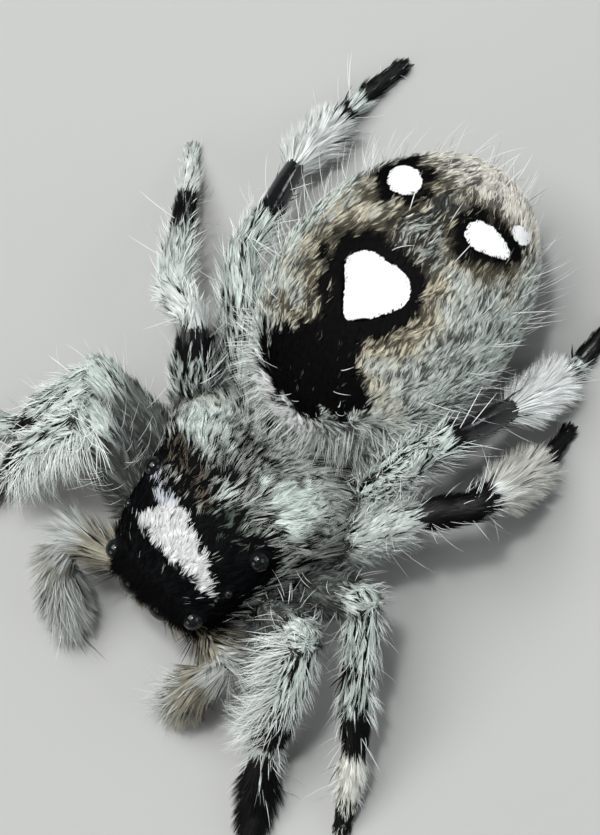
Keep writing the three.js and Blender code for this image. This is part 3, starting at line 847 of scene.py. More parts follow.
def painted(m, attribute, level):
    """The colour that is painted on the points, darker and lighter by a level."""
    tint = add_node(m, "ShaderNodeAttribute", {"attribute_name": attribute}).outputs["Color"]
    links = {"Color1": tint, "Color2": level}
    return add_node(m, "ShaderNodeMixRGB", {"blend_type": "MULTIPLY"}, links, Fac=1.0).outputs["Color"]


def ramp(m, value, first, last, *between):
    """A run of colours over a value, each with its place from 0 to 1."""
    made = add_node(m, "ShaderNodeValToRGB", {}, {"Fac": value})
    elements = made.color_ramp.elements
    for element, (place, colour) in zip((elements[0], elements[1]), (first, last)):
        element.position, element.color = place, (*colour, 1)
    for place, colour in between:
        elements.new(place).color = (*colour, 1)
    return made.outputs["Color"]


def bumps(m, height, strength):
    """A relief of at most 0.02 mm."""
    return add_node(m, "ShaderNodeBump", {}, {"Height": height}, Strength=strength, Distance=0.00002).outputs["Normal"]


def surface(m, links, **values):
    """Ends a material with its surface, from what feeds it and what is set on it."""
    made = add_node(m, "ShaderNodeBsdfPrincipled", {}, links, **values)
    add_node(m, "ShaderNodeOutputMaterial", {}, {"Surface": made.outputs["BSDF"]})
    return m


def cuticle_material(name, roughness, grain, shine):
    """Polished chitin: a hard black shell, smooth between fine pits, with the undercoat's tint."""
    m = new_material(name)
    cloud = clouds(m, 2600.0, 5.0)
    # Pits of the hair roots, about 0.09 mm apart.
    place = add_node(m, "ShaderNodeTexCoord").outputs["Object"]
    pits = add_node(m, "ShaderNodeTexVoronoi", {}, {"Vector": place}, Scale=11000.0).outputs["Distance"]
    rough = spread(m, cloud, roughness * 0.75, roughness * 1.5, From_Min=0.3, From_Max=0.7)
    shade = painted(m, "marking", spread(m, cloud, 0.55, 1.3))
    links = {"Base Color": shade, "Roughness": rough, "Normal": bumps(m, pits, grain)}
    return surface(m, links, Specular_IOR_Level=shine)


def hair_material(name, roughness, shine):
    """Fine hair and scales: each strand has its own tone, with painted shade at its root, and is silky along its
    length.
    """
    m = new_material(name)
    # Mottling about half a millimetre across, as dust and wear give a coat.
    shade = painted(m, "coat", spread(m, clouds(m, 2400.0, 3.0), 0.8, 1.2))
    return surface(m, {"Base Color": shade}, Roughness=roughness, Specular_IOR_Level=shine)


def eye_material():
    """A wet corneal lens over a dark retina: black to the middle, with a faint brown-green rim."""
    m = new_material("wet black eye")
    shade = painted(m, "rim", spread(m, clouds(m, 6000.0, 2.0), 0.6, 1.4))
    return surface(m, {"Base Color": shade}, IOR=1.38, Roughness=0.04)


def jaw_material():
    """Iridescent chitin: thin layers give the jaws a metallic green that turns to blue and bronze in patches."""
    m = new_material("metallic green jaw")
    green = hues().jaw
    blue, bronze = green * (0.25, 0.6, 1.5), green * (2.6, 1.05, 0.45)
    sheen = ramp(m, clouds(m, 1400.0, 3.0), (0.32, blue), (0.68, bronze), (0.5, green))
    # Wrinkles across the jaw, about 0.06 mm apart.
    wrinkles = bumps(m, clouds(m, 16000.0, 3.0), 0.5)
    return surface(m, {"Base Color": sheen, "Normal": wrinkles}, Metallic=0.85, Roughness=0.28)


def horn_material():
    """Fang horn: hard, smooth and red-brown, darker and lighter in soft patches."""
    m = new_material("red-brown horn")
    horn = hues().fang
    tone = ramp(m, clouds(m, 3500.0, 3.0), (0.0, horn * 0.4), (1.0, horn * 1.6))
    return surface(m, {"Base Color": tone}, IOR=1.55, Roughness=0.2)


def floor_material():
    """Matt painted board: an even pale surface with a faint mottle."""
    m = new_material("pale painted board")
    pale = hues().floor
    tone = ramp(m, clouds(m, 40.0, 3.0), (0.0, pale * 0.96), (1.0, pale))
    return surface(m, {"Base Color": tone}, Roughness=0.8)


# ---------- coat ----------


def scatter(mesh, wanted, keep, rng):
    """Random hair roots on a mesh, evenly by area: wanted per square millimetre, each kept by a chance."""
    points, normals, triangles = points_of(mesh), normals_of(mesh), triangles_of(mesh)
    a, b, c = (points[triangles[:, i]] for i in range(3))
    area = np.linalg.norm(np.cross(b - a, c - a), axis=1) / 2
    count = rng.poisson(area.sum() * wanted)
    chosen = rng.choice(len(area), count, p=area / area.sum())
    u, v = rng.random((2, count))
    u, v = np.where(u + v > 1, 1 - u, u), np.where(u + v > 1, 1 - v, v)
    weights = np.stack([1 - u - v, u, v], 1)
    corners = triangles[chosen]
    place = (points[corners] * weights[..., None]).sum(1)
    facing = unit((normals[corners] * weights[..., None]).sum(1))
    held = rng.random(count) < keep(place, facing)
    return place[held], facing[held]


def leaders_of(points, group, each, rng):
    """For each root the root that leads its lock: one in so many is a leader, and the nearest of its group leads."""
    leads = np.flatnonzero(rng.random(len(points)) < 1 / each)
    apart = points + np.outer(group, (100.0, 0, 0))
    tree = KDTree(len(leads))
    for i, lead in enumerate(leads):
        tree.insert(apart[lead], i)
    tree.balance()
    return leads[[tree.find(place)[1] for place in apart]]


def laid(way, normal, turn):
    """A way laid on the skin and turned there by an angle."""
    way = unit(way - (way * normal).sum(1, keepdims=True) * normal)
    return way * np.cos(turn)[:, None] + np.cross(normal, way) * np.sin(turn)[:, None]


def tuft_shape(rings):
    """The triangles of one tuft: a three-sided spike with some rings and a tip, closed at the root."""
    faces = [(0, 1, 2)]
    for k in range(rings - 1):
        for i in range(3):
            a, b = 3 * k + i, 3 * k + (i + 1) % 3
            faces += [(a, a + 3, b + 3), (a, b + 3, b)]
    last = 3 * (rings - 1)
    for i in range(3):
        faces.append((last + i, last + 3, last + (i + 1) % 3))
    return np.array(faces)


def grow_tufts(name, roots, lie, length, width, lift, curl, shaded_root_colour, tip_colour, place_on_map, rings=2,
               sway=0.0, drop=0.0, leader=None, clump=0.0, blunt=0.25):
    """A coat piece: a closed tuft at each root, which leaves the skin at its lift, bends by its curl and leans to
    the leader of its lock."""
    place, normal = roots
    count = len(place)
    side = np.cross(lie, normal)
    length, width, lift, curl, sway, drop = (
        np.broadcast_to(a, count)[:, None] for a in (length, width, lift, curl, sway, drop)
    )
    line = np.empty((count, rings + 1, 3))
    line[:, 0] = place - normal * (SHORT_HAIR_SINK if rings == 1 else HAIR_SINK)
    for k in range(1, rings + 1):
        angle = lift + curl * (k - 0.5) / rings
        share = k / rings
        ahead = lie * np.cos(angle) + normal * np.sin(angle) + side * sway * share - np.array([0, 0, 1]) * drop * share
        line[:, k] = line[:, k - 1] + unit(ahead) * length / rings
    if leader is not None:
        pull = np.broadcast_to(clump, count)[:, None] * (np.arange(rings + 1) / rings) ** 1.2
        line = line + (line[leader] - line) * pull[..., None]
    points = np.empty((count, 3 * rings + 1, 3))
    # A hair takes the light as the whole coat does: it faces the skin's way at its root, and is a little round.
    facing = np.repeat(normal[:, None], 3 * rings + 1, axis=1) + (0, 0, 0.6)
    swell = np.interp(np.arange(rings) / rings, (0, 0.35, 1), (0.7, 1.0, blunt)) if rings > 1 else [1.0]
    for k in range(rings):
        ahead = unit(line[:, k + 1] - line[:, k])
        up = unit(np.cross(side, ahead))
        across = np.cross(ahead, up)
        half = width / 2 * swell[k]
        points[:, 3 * k] = line[:, k] - across * half - up * half * 0.3
        points[:, 3 * k + 1] = line[:, k] + across * half - up * half * 0.3
        points[:, 3 * k + 2] = line[:, k] + up * half * 0.6
        facing[:, 3 * k] -= 0.5 * across
        facing[:, 3 * k + 1] += 0.5 * across
    points[:, -1] = line[:, -1]
    # Nothing hangs through the floor.
    points[..., 2] = np.maximum(points[..., 2], HAIR_CLEARANCE)
    triangles = (tuft_shape(rings)[None] + np.arange(count)[:, None, None] * (3 * rings + 1)).reshape(-1, 3)
    mesh = mesh_of_triangles(name, in_model(points.reshape(-1, 3)), triangles)
    mesh.normals_split_custom_set_from_vertices(unit(facing).reshape(-1, 3).tolist())
    steps = np.append(np.repeat(np.arange(rings) / rings, 3), 1.0)
    # Each tuft runs from its root colour, which is darker by painted shade deep in the coat, to its tip colour.
    tone = shaded_root_colour[:, None] + (tip_colour - shaded_root_colour)[:, None] * steps[None, :, None] ** 0.7
    paint(mesh, "coat", np.clip(tone, 0, 1).reshape(-1, 3))
    # Each tuft is a small patch of the map at the place of its root.
    across = np.append(np.tile((0.0, 1.0, 0.5), rings), 0.5)
    onward = steps * 0.85 + np.append(np.tile((0.0, 0.0, 0.15), rings), 0.0)
    spots = place_on_map[:, None] * (1 - MAP_PATCH) + MAP_PATCH * np.stack([across, onward], 1)[None]
    layer = mesh.uv_layers.new(name="OFBake", do_init=False)
    layer.uv.foreach_set("vector", spots.reshape(-1, 2)[triangles.ravel()].astype(np.float32).ravel())
    return add_object(name, mesh)


def coat_pieces(parts, roots, lie, at, shaded_root_colour, tip_colour, slot, material, leader=None, **shape):
    """Coat pieces from one field of roots: a name for all of it, or a name and the chosen roots of each piece."""
    if isinstance(parts, str):
        parts = ((parts, np.ones(len(at), bool)),)
    for name, chosen in parts:
        own = {key: value[chosen] if np.ndim(value) else value for key, value in shape.items()}
        if leader is not None:
            # A leader in another piece is left, and the hair then stands for itself.
            row = np.full(len(chosen), -1)
            row[chosen] = np.arange(chosen.sum())
            led = row[leader[chosen]]
            own["leader"] = np.where(led < 0, np.arange(chosen.sum()), led)
        piece = grow_tufts(
            name, (roots[0][chosen], roots[1][chosen]), lie[chosen], shaded_root_colour=shaded_root_colour[chosen],
            tip_colour=tip_colour[chosen], place_on_map=spread_map(at[chosen]), **own,
        )
        piece.data.materials.append(material)
        finish_piece(piece)


def on_abdomen_map(points):
    """The map of the abdomen's coat: round it, and from its front to its rear."""
    at = on_abdomen(points)
    return np.stack([(at.around / math.tau) % 1.0, np.arccos(-at.back) / math.pi], 1)


def on_shield_map(points):
    """The map of the head coat: round the shield, and from its front to its rear."""
    around = np.arctan2(points[:, 2] - SHIELD_WIDEST, points[:, 0])
    along = (points[:, 1] - SHIELD_FRONT) / (SHIELD_REAR - SHIELD_FRONT)
    return np.stack([(around / math.tau) % 1.0, along], 1).clip(0, 1)


def on_limb_map(along, around, strip=0, strips=1):
    """Each limb is a strip of the map, from its root below to its tip above."""
    across = (strip + (around / math.tau + 0.5) % 1.0) / strips
    return np.stack([across, along / 6], 1).clip(0, 1)


def spread_map(spots):
    """A small part of a map, spread over all of it."""
    low, high = spots.min(0), spots.max(0)
    return (spots - low) / (high - low)


def aimed(ahead, normal):
    """The lie on the skin and the lift off it of hairs that point along given ways."""
    ahead = unit(ahead)
    rise = (ahead * normal).sum(1)
    return unit(ahead - rise[:, None] * normal), np.arcsin(rise.clip(-1, 1))


def shared(value, leader, own):
    """A value that a lock shares, with a part of its own for each hair."""
    return value[leader] * (1 - own) + value * own


# ---------- operators ----------


class SPIDER_OT_stage(bpy.types.Operator):
    """A pale floor, soft lights and the camera"""

    bl_idname = "spider.stage"
    bl_label = "Stage"

    def execute(self, context):
        stage = context.scene.spider_stage
        bm = bmesh.new()
        bmesh.ops.create_circle(bm, cap_ends=True, segments=96, radius=0.6)
        mesh = bpy.data.meshes.new("floor")
        bm.to_mesh(mesh)
        bm.free()
        floor = add_object("floor", mesh)
        floor.data.materials.append(floor_material())

        # Soft boxes: name, place, size, share of the key's power, colour.
        lamps = (
            ("key", (-0.07, 0.0, 0.2), 0.16, 1.0, "#FFFFFF"),
            ("fill", (0.16, 0.1, 0.12), 0.14, 0.25, "#F4F8FF"),
            ("front", (-0.04, -0.2, 0.09), 0.1, 0.2, "#FFF8F0"),
            ("glint", (-0.01, 0.02, 0.17), 0.014, 0.3, "#FFFFFF"),
            ("rear glint", (-0.01, 0.2, 0.026), 0.045, 0.09, "#FFFFFF"),
        )
        for name, place, size, share, code in lamps:
            light = bpy.data.lights.new(name, "AREA")
            light.energy = stage.key_power * share
            light.size = size
            light.color = linear(code)
            lamp = bpy.data.objects.new(name, light)
            lamp.location = place
            lamp.rotation_euler = (Vector((0, 0, 0.002)) - Vector(place)).to_track_quat("-Z", "Y").to_euler()
            context.scene.collection.objects.link(lamp)

        world = bpy.data.worlds.new("pale room")
        world.use_nodes = True
        world.node_tree.nodes["Background"].inputs["Color"].default_value = linear("#D9DBDC", 1.0)
        world.node_tree.nodes["Background"].inputs["Strength"].default_value = 0.26
        context.scene.world = world
        context.scene.view_settings.view_transform = "Standard"

        camera_data = bpy.data.cameras.new("camera")
        camera_data.lens = stage.lens
        camera_data.sensor_width = 36.0
        camera_data.clip_start = 0.005
        camera_data.clip_end = 5.0
        camera = bpy.data.objects.new("camera", camera_data)
        right, up = Vector(CAMERA_RIGHT), Vector(CAMERA_UP)
        turn = Matrix((right, up, right.cross(up).normalized())).transposed().to_4x4()
        camera.matrix_world = Matrix.Translation(Vector(CAMERA_PLACE) * MM) @ turn
        context.scene.collection.objects.link(camera)
        context.scene.camera = camera
        return {"FINISHED"}


def skin_mesh():
    """The flesh as one closed skin, joined from the body's shapes and smoothed where they meet."""
    size = sizes()
    bm = bmesh.new()
    ball_into(bm, lambda ball: abdomen_points(ball, -size.abdomen_coat_depth), 64, 48)
    egg_into(bm, (0, 0.95, 1.64), (0.62, 1.8, 0.56))
    # The soft flanks under the head shield.
    egg_into(bm, (0, 0.6, 2.62), (2.05, 2.3, 0.72), 32, 24)
    egg_into(bm, (0, -1.28, 1.45), (0.28, 0.44, 0.4))
    for side in (1, -1):
        egg_into(bm, (0.36 * side, -1.36, 1.42), (0.25, 0.54, 0.44))
    limb_into(bm, np.array([0, 2.4, 1.95]), np.array([0, 3.9, 2.35]), (0.36, 0.34, 0.4))
    for _, joints, girths in LIMBS:
        for k, girth in enumerate(girths):
            limb_into(bm, joints[k], joints[k + 1], girth)
    for x, y, z in ((-0.26, 0.72, -0.1), (0.26, 0.72, -0.1), (-0.22, 0.42, -0.42), (0.22, 0.42, -0.42)):
        start = np.array([-0.33 + x * 0.7, 10.05, 1.85])
        limb_into(bm, start, np.array([-0.33 + x, 10.25 + y, 1.85 + z]), (0.25, 0.22, 0.13), 12)
    # The remesh works in steps of at least a tenth of a unit's thousandth, so it is done at a millimetre to the unit.
    rough = bpy.data.meshes.new("flesh")
    bm.to_mesh(rough)
    bm.free()
    holder = add_object("flesh", rough)
    remesh = holder.modifiers.new("one skin", "REMESH")
    remesh.mode = "VOXEL"
    remesh.voxel_size = size.skin_grain
    joined = bpy.data.meshes.new_from_object(holder.evaluated_get(bpy.context.evaluated_depsgraph_get()))
    bpy.data.objects.remove(holder)
    bpy.data.meshes.remove(rough)
    bm = bmesh.new()
    bm.from_mesh(joined)
    bpy.data.meshes.remove(joined)
    for _ in range(4):
        soften(bm)
    for vert in bm.verts:
        vert.co.z = max(vert.co.z, 0.0)
    return bm


class SPIDER_OT_skin(bpy.types.Operator):
    """One skin for abdomen, waist, underside, legs and palps"""

    bl_idname = "spider.skin"
    bl_label = "Skin"

    def execute(self, context):
        skin = piece_from(skin_mesh(), "skin")
        points = points_of(skin.data)
        at = on_limbs(points)
        c = hues()
        abdomen, _, black = abdomen_markings(points)
        tint = mixed(c.cuticle, c.pale_hair, 0.02 * leg_markings(at.limb, at.along)[0])
        white = (white_of_abdomen(points) < -0.09) * 1.0
        on_body = on_abdomen(points).gap < 0.1
        tint = np.where(on_body[:, None], mixed(abdomen * (0.1 * (1 - black))[:, None], abdomen, white), tint)
        paint(skin.data, "marking", tint)
        # Legs are glossy where they are bare, and the abdomen is soft and dull under its coat.
        shell = cuticle_material("black leg shell under hair", roughness=0.14, grain=0.08, shine=0.45)
        soft = cuticle_material("soft abdomen skin under hair", roughness=0.85, grain=0.2, shine=0.03)
        for material in (shell, soft):
            skin.data.materials.append(material)
        dull = [int(on_body[face.vertices[0]]) for face in skin.data.polygons]
        skin.data.polygons.foreach_set("material_index", dull)
        nodes = ["abdomen", "sternum", "pedicel", "spinnerets", "mouth", "palp_left", "palp_right"]
        nodes += [f"{name}_{piece}" for name in LEG_POSES for piece in LEG_PIECES]
        finish_piece(skin, nodes)
        return {"FINISHED"}


class SPIDER_OT_shield(bpy.types.Operator):
    """The hard shield over head and thorax, with a low rim round each eye"""

    bl_idname = "spider.shield"
    bl_label = "Head shield"

    def execute(self, context):
        bm = bmesh.new()

        def shaped(ball):
            points = shield_points(ball, -0.05)
            for middle, radius in eye_balls():
                reach = np.linalg.norm(points - middle, axis=1)
                rim = 0.07 * np.exp(-(((reach - radius * 1.12) / (0.22 * radius + 0.04)) ** 2))
                points = points + unit(points - (0, 0.4, 3.2)) * rim[:, None]
            # A shallow groove between the rear eyes marks the end of the head.
            groove = np.exp(-(((points[:, 1] - 0.75) / 0.22) ** 2)) * smoothstep(0.9, 0.2, np.abs(points[:, 0]))
            points[:, 2] -= 0.07 * groove * (points[:, 2] > 4)
            return points

        ball_into(bm, shaped, 132, 110)
        soften(bm)
        bmesh.ops.recalc_face_normals(bm, faces=bm.faces)
        shield = piece_from(bm, "head_shield")
        c = hues()
        points = points_of(shield.data)
        colour, _, white, _ = shield_markings(points)
        paint(shield.data, "marking", mixed(c.cuticle, colour, 0.2 * white))
        shield.data.materials.append(cuticle_material("black head shell", roughness=0.6, grain=0.2, shine=0.05))
        finish_piece(shield, ["carapace"])
        return {"FINISHED"}


class SPIDER_OT_eyes(bpy.types.Operator):
    """Eight wet eyes set in the shield"""

    bl_idname = "spider.eyes"
    bl_label = "Eyes"

    def execute(self, context):
        bm = bmesh.new()
        centres = []
        for middle, radius in eye_balls():
            centres += [middle] * len(egg_into(bm, middle, radius, 40, 28))
        eyes = piece_from(bm, "eyes")
        normals = normals_of(eyes.data)
        # The rim shows where the lens meets the shell, away from the eye's own way of looking.
        outward = unit(np.array(centres) - (0, 0.6, 3.3))
        turned = smoothstep(0.75, 0.35, (normals * outward).sum(1))
        deep = hues().eye
        paint(eyes.data, "rim", mixed(deep, deep + linear("#0B0F0D"), turned))
        eyes.data.materials.append(eye_material())
        nodes = [f"{name}_{side}" for name in EYES for side in ("left", "right")]
        finish_piece(eyes, nodes)
        return {"FINISHED"}


class SPIDER_OT_jaws(bpy.types.Operator):
    """Two metallic jaws with their folded fangs, and the claws of the eight feet"""

    bl_idname = "spider.jaws"
    bl_label = "Jaws, fangs and claws"

    def execute(self, context):
        height = JAW_TOP - JAW_TIP
        profile = [(0, 0), (0.3, 0.0), (0.55, 0.02), (0.75, 0.07), (0.87, 0.15), (0.96, 0.28), (1, 0.45), (1, 0.6),
                   (0.97, 0.78), (0.9, 0.92), (0.8, 1.0), (0.6, 1.08), (0, 1.1)]
        bm = bmesh.new()
        for side in (1, -1):
            outline = [(r * JAW_RADIUS, JAW_TIP + h * height) for r, h in profile]
            jaw = turned_into(bm, outline, 40, (0, 0, 0), (0, 0, 1))
            for vert in jaw:
                down = (JAW_TOP - vert.co.z) / height
                vert.co.x += side * (JAW_X - 0.05 * down)
                vert.co.y += JAW_Y - JAW_LEAN * down
        jaws = piece_from(bm, "jaws")
        jaws.data.materials.append(jaw_material())
        finish_piece(jaws, ["jaw_left", "jaw_right"])

        bm = bmesh.new()
        for side in (1, -1):
            thorn_into(bm, FANG_LENGTH, FANG_RADIUS, side)
        fangs = piece_from(bm, "fangs")
        fangs.data.materials.append(horn_material())
        finish_piece(fangs, ["fang_left", "fang_right"])

        bm = bmesh.new()
        for _, joints, _ in LIMBS[:8]:
            for side in (1, -1):
                claw_into(bm, joints[-2], joints[-1], side)
        claws = piece_from(bm, "claws")
        claws.data.materials.append(fangs.data.materials[0])
        finish_piece(claws)
        return {"FINISHED"}


def thorn_into(bm, length, radius, side):
    """A fang: a curved thorn folded inwards below the jaw."""
    profile = [(0, -length / 2), (radius * 0.8, -length / 2), (radius, -length * 0.4), (radius * 0.8, 0)]
    profile += [(radius * 0.5, length * 0.25), (radius * 0.25, length * 0.42), (0, length / 2)]
    made = turned_into(bm, profile, 20, (0, 0, 0), (0, 1, 0))
    for vert in made:
        out = (vert.co.y + length / 2) / length
        vert.co.x -= side * 0.22 * out * out
    centre = Vector((side * (JAW_X - 0.02), JAW_Y - 0.02, JAW_TIP - 0.05))
    bmesh.ops.rotate(bm, verts=made, cent=(0, 0, 0), matrix=Matrix.Rotation(side * math.radians(62), 3, "Z"))
    bmesh.ops.rotate(bm, verts=made, cent=(0, 0, 0), matrix=Matrix.Rotation(math.radians(24), 3, "X"))
    bmesh.ops.translate(bm, verts=made, vec=centre)


def claw_into(bm, ankle, tip, side):
    """One of the two claws of a foot: a short hook that bends down to the floor."""
    ahead = unit(tip - ankle)
    across = unit(np.cross(ahead, (0, 0, 1)))
    start = tip + 0.14 * ahead + 0.07 * side * across
    way = ahead + 0.2 * side * across
    made = turned_into(bm, [(0, 0), (0.045, 0), (0.04, 0.09), (0.028, 0.18), (0.012, 0.25), (0, 0.27)], 8, start, way)
    for vert in made:
        out = max(0.0, float((np.array(vert.co) - start) @ ahead)) / 0.27
        vert.co.z = max(vert.co.z - 0.12 * out * out, CLAW_CLEARANCE)


class SPIDER_OT_abdomen_coat(bpy.types.Operator):
    """The lying hair and white scales of the abdomen"""

    bl_idname = "spider.abdomen_coat"
    bl_label = "Abdomen coat"

    def execute(self, context):
        size = sizes()
        c = hues()
        rng = np.random.default_rng(size.seed)
        skin = bpy.data.objects["skin"].data

        def keep(points, facing):
            ours = (on_abdomen(points).gap < ON_ABDOMEN) & (on_limbs(points).gap > 0.05)
            return ours * np.where(points[:, 2] > 3.0, 1.0, 0.28)

        p, n = scatter(skin, size.abdomen_hairs, keep, rng)
        count = len(p)
        own = on_abdomen(p).own
        # The hair lies to the rear and closes in a little towards the midline.
        way = np.stack([-0.16 * own[:, 0], np.ones(count), -0.25 * (p[:, 2] < 3.5)], 1)
        leader = leaders_of(p, np.zeros(count), 8.0, rng)
        turn = 0.2 * waves(p, 0.8, 31) + shared(rng.normal(0, 0.24, count), leader, 0.35)
        lie = laid(way, n, turn)
        front = collar(p)
        # The collar's outer hair turns over and points forwards.
        outward = n * (1, 1, 0) + (0, 0, 0.3)
        over = smoothstep(0.1, -0.3, behind_collar(p)) * front
        lie = unit(mixed(lie, laid(outward, n, turn), over))
        apart = white_of_abdomen(p)
        inside = apart < 0
        length = size.abdomen_hair * (0.7 + 0.5 * rng.random(count))
        length = length * (1 + 0.6 * front * smoothstep(2.6, 1.5, np.abs(p[:, 0])))
        # The white scales lie flat and end at their edge, and the hair round them stops short of it.
        length = np.where(inside, np.clip(0.03 - apart, 0.07, 0.2), length)
        crosses = ~inside & (white_of_abdomen(p + lie * length[:, None] * 0.9) < 0.02)
        length = np.where(crosses, np.clip(apart, 0.05, 0.3), length)
        middle = p + lie * (length * HAIR_MIDDLE)[:, None]
        colour, dark, black = abdomen_markings(middle)
        white = inside.astype(float)
        colour = np.where(inside[:, None], c.white_scale, colour)
        dark = np.where(crosses, 0.99, dark * (1 - white))
        in_dark = shared(rng.random(count), leader, 0.3) < dark
        # Steep sides get painted light: their hair is lighter where the coat turns away from the lamps above.
        steep = smoothstep(0.75, 0.25, n[:, 2])
        bright = front * bright_front(p)
        level = 0.28 + 0.95 * shared(rng.random(count), leader, 0.45) - 0.22 * front + 0.64 * bright + 0.16 * steep
        level = np.where(inside, 0.64 + 0.14 * rng.random(count), level)
        gloom = mixed(colour * (0.05 + 0.16 * rng.random(count))[:, None], c.black_hair, black)
        tip = np.where(in_dark[:, None], gloom, colour * level[:, None])
        tip = tip * np.where(~in_dark & (black > 0.9) & ~inside, 0.25, 1.0)[:, None]
        tip = tip.clip(0, 0.95)
        # Roots are darker by painted shade deep in the coat, less so under the white scales and in the collar.
        root = tip * (0.6 + 0.4 * white + 0.2 * front)[:, None]
        width = size.hair_width * (0.75 + 0.5 * rng.random(count))
        width = np.where(inside, 0.045 + 0.015 * rng.random(count), width)
        lift = 0.18 + 0.14 * rng.random(count) + 0.25 * front
        lift = np.where(inside, 0.03 / length, lift)
        # The sides are fuzzy where the coat is seen against the light.
        lift = lift + 0.3 * smoothstep(0.55, 0.1, n[:, 2]) * smoothstep(1.8, 2.6, p[:, 2])
        fur = hair_material("abdomen hair", roughness=0.6, shine=0.04)
        high = p[:, 2] > 3.0
        coat_pieces(
            (("abdomen_coat_front", high & (own[:, 1] < -1.3)),
             ("abdomen_coat_middle", high & (own[:, 1] >= -1.3) & (own[:, 1] < 1.1)),
             ("abdomen_coat_rear", high & (own[:, 1] >= 1.1)), ("abdomen_coat_below", ~high)),
            (p, n), lie, on_abdomen_map(p), root, tip, "abdomen_hair", fur, leader=leader,
            length=length, width=width, lift=lift, curl=-0.2, clump=0.45 * (1 - white), rings=1,
        )
        return {"FINISHED"}


class SPIDER_OT_shield_coat(bpy.types.Operator):
    """The white head band, the pale bands of the thorax and the hair of the face"""

    bl_idname = "spider.shield_coat"
    bl_label = "Head coat"

    def execute(self, context):
        size = sizes()
        c = hues()
        rng = np.random.default_rng(size.seed + 1)
        shield = bpy.data.objects["head_shield"].data

        def keep(points, facing):
            chance = shield_markings(points)[3] * (points[:, 2] > 2.45)
            for middle, radius in eye_balls():
                chance = chance * (np.linalg.norm(points - middle, axis=1) > radius * 1.15)
            return chance

        def brow(points, facing):
            x, y, z = points.T
            return (z > 3.7) * smoothstep(-2.0, -2.2, y) * (np.abs(x) < 1.9)

        p, n = scatter(shield, size.head_hairs, keep, rng)
        count = len(p)
        leader = leaders_of(p, np.zeros(count), 8.0, rng)
        thorax = smoothstep(0.1, 0.9, p[:, 1])
        low = smoothstep(3.7, 3.1, p[:, 2])
        face = smoothstep(-2.0, -2.35, p[:, 1]) * smoothstep(3.3, 3.0, p[:, 2])
        # The hair points to the rear, fans outwards over the thorax and hangs at the edge.
        way = np.stack([(0.12 + 0.3 * thorax + 0.3 * low) * p[:, 0], np.ones(count), -0.3 - 0.5 * low], 1)
        way = mixed(way, np.stack([0.5 * p[:, 0], -0.2 * np.ones(count), -np.ones(count)], 1), face)
        turn = 0.25 * waves(p, 0.6, 33) + shared(rng.normal(0, 0.26, count), leader, 0.35)
        lie = laid(way, n, turn)
        length = 0.2 + 0.12 * rng.random(count) + 0.26 * thorax + 0.4 * low + 0.25 * face
        middle = p + lie * (length * HAIR_MIDDLE)[:, None]
        colour, pale, white, _ = shield_markings(middle)
        pale = np.maximum(pale, 0.6 * face)
        colour = mixed(colour, c.tan_hair, face)
        is_pale = shared(rng.random(count), leader, 0.3) < pale
        in_band = white > 0.5
        level = np.where(in_band, 0.42, 0.3) + np.where(in_band, 0.42, 0.9) * shared(rng.random(count), leader, 0.4)
        level = level * (1 - 0.25 * low)
        black = c.black_hair * (0.3 + 0.9 * rng.random(count) + 1.5 * thorax)[:, None]
        tip = np.where(is_pale[:, None], (colour * level[:, None]).clip(0, 0.97), black)
        width = size.hair_width * (0.8 + 0.4 * rng.random(count)) * (1 + 0.2 * white)
        lift = 0.14 + 0.14 * rng.random(count) + 0.25 * low + 0.3 * face + 0.08 * thorax + 0.08 * white
        # Roots get painted shade: half the tip's colour, a little lighter under the white band.
        coat_pieces(
            "head_coat", (p, n), lie, on_shield_map(p), tip * (0.5 + 0.15 * white)[:, None], tip, "black_shield",
            hair_material("head hair", roughness=0.6, shine=0.03), leader=leader, length=length, width=width,
            lift=lift, curl=-0.2, clump=0.45, rings=1,
        )
        # A black brow leans forward over the front eyes.
        p, n = scatter(shield, size.brow_hairs, brow, rng)
        count = len(p)
        lie = laid(np.array([0.25, 0, 0]) * p - (0, 1, 0.25), n, rng.normal(0, 0.22, count))
        black = np.tile(c.black_hair, (count, 1)) * (0.4 + 1.2 * rng.random(count))[:, None]
        coat_pieces(
            "brow", (p, n), lie, on_shield_map(p), black, black, "black_shield",
            hair_material("black brow hair", roughness=0.7, shine=0.03), length=0.34 + 0.22 * rng.random(count),
            width=0.026, lift=0.25 + 0.25 * rng.random(count), curl=-0.3, rings=1,
        )
        return {"FINISHED"}


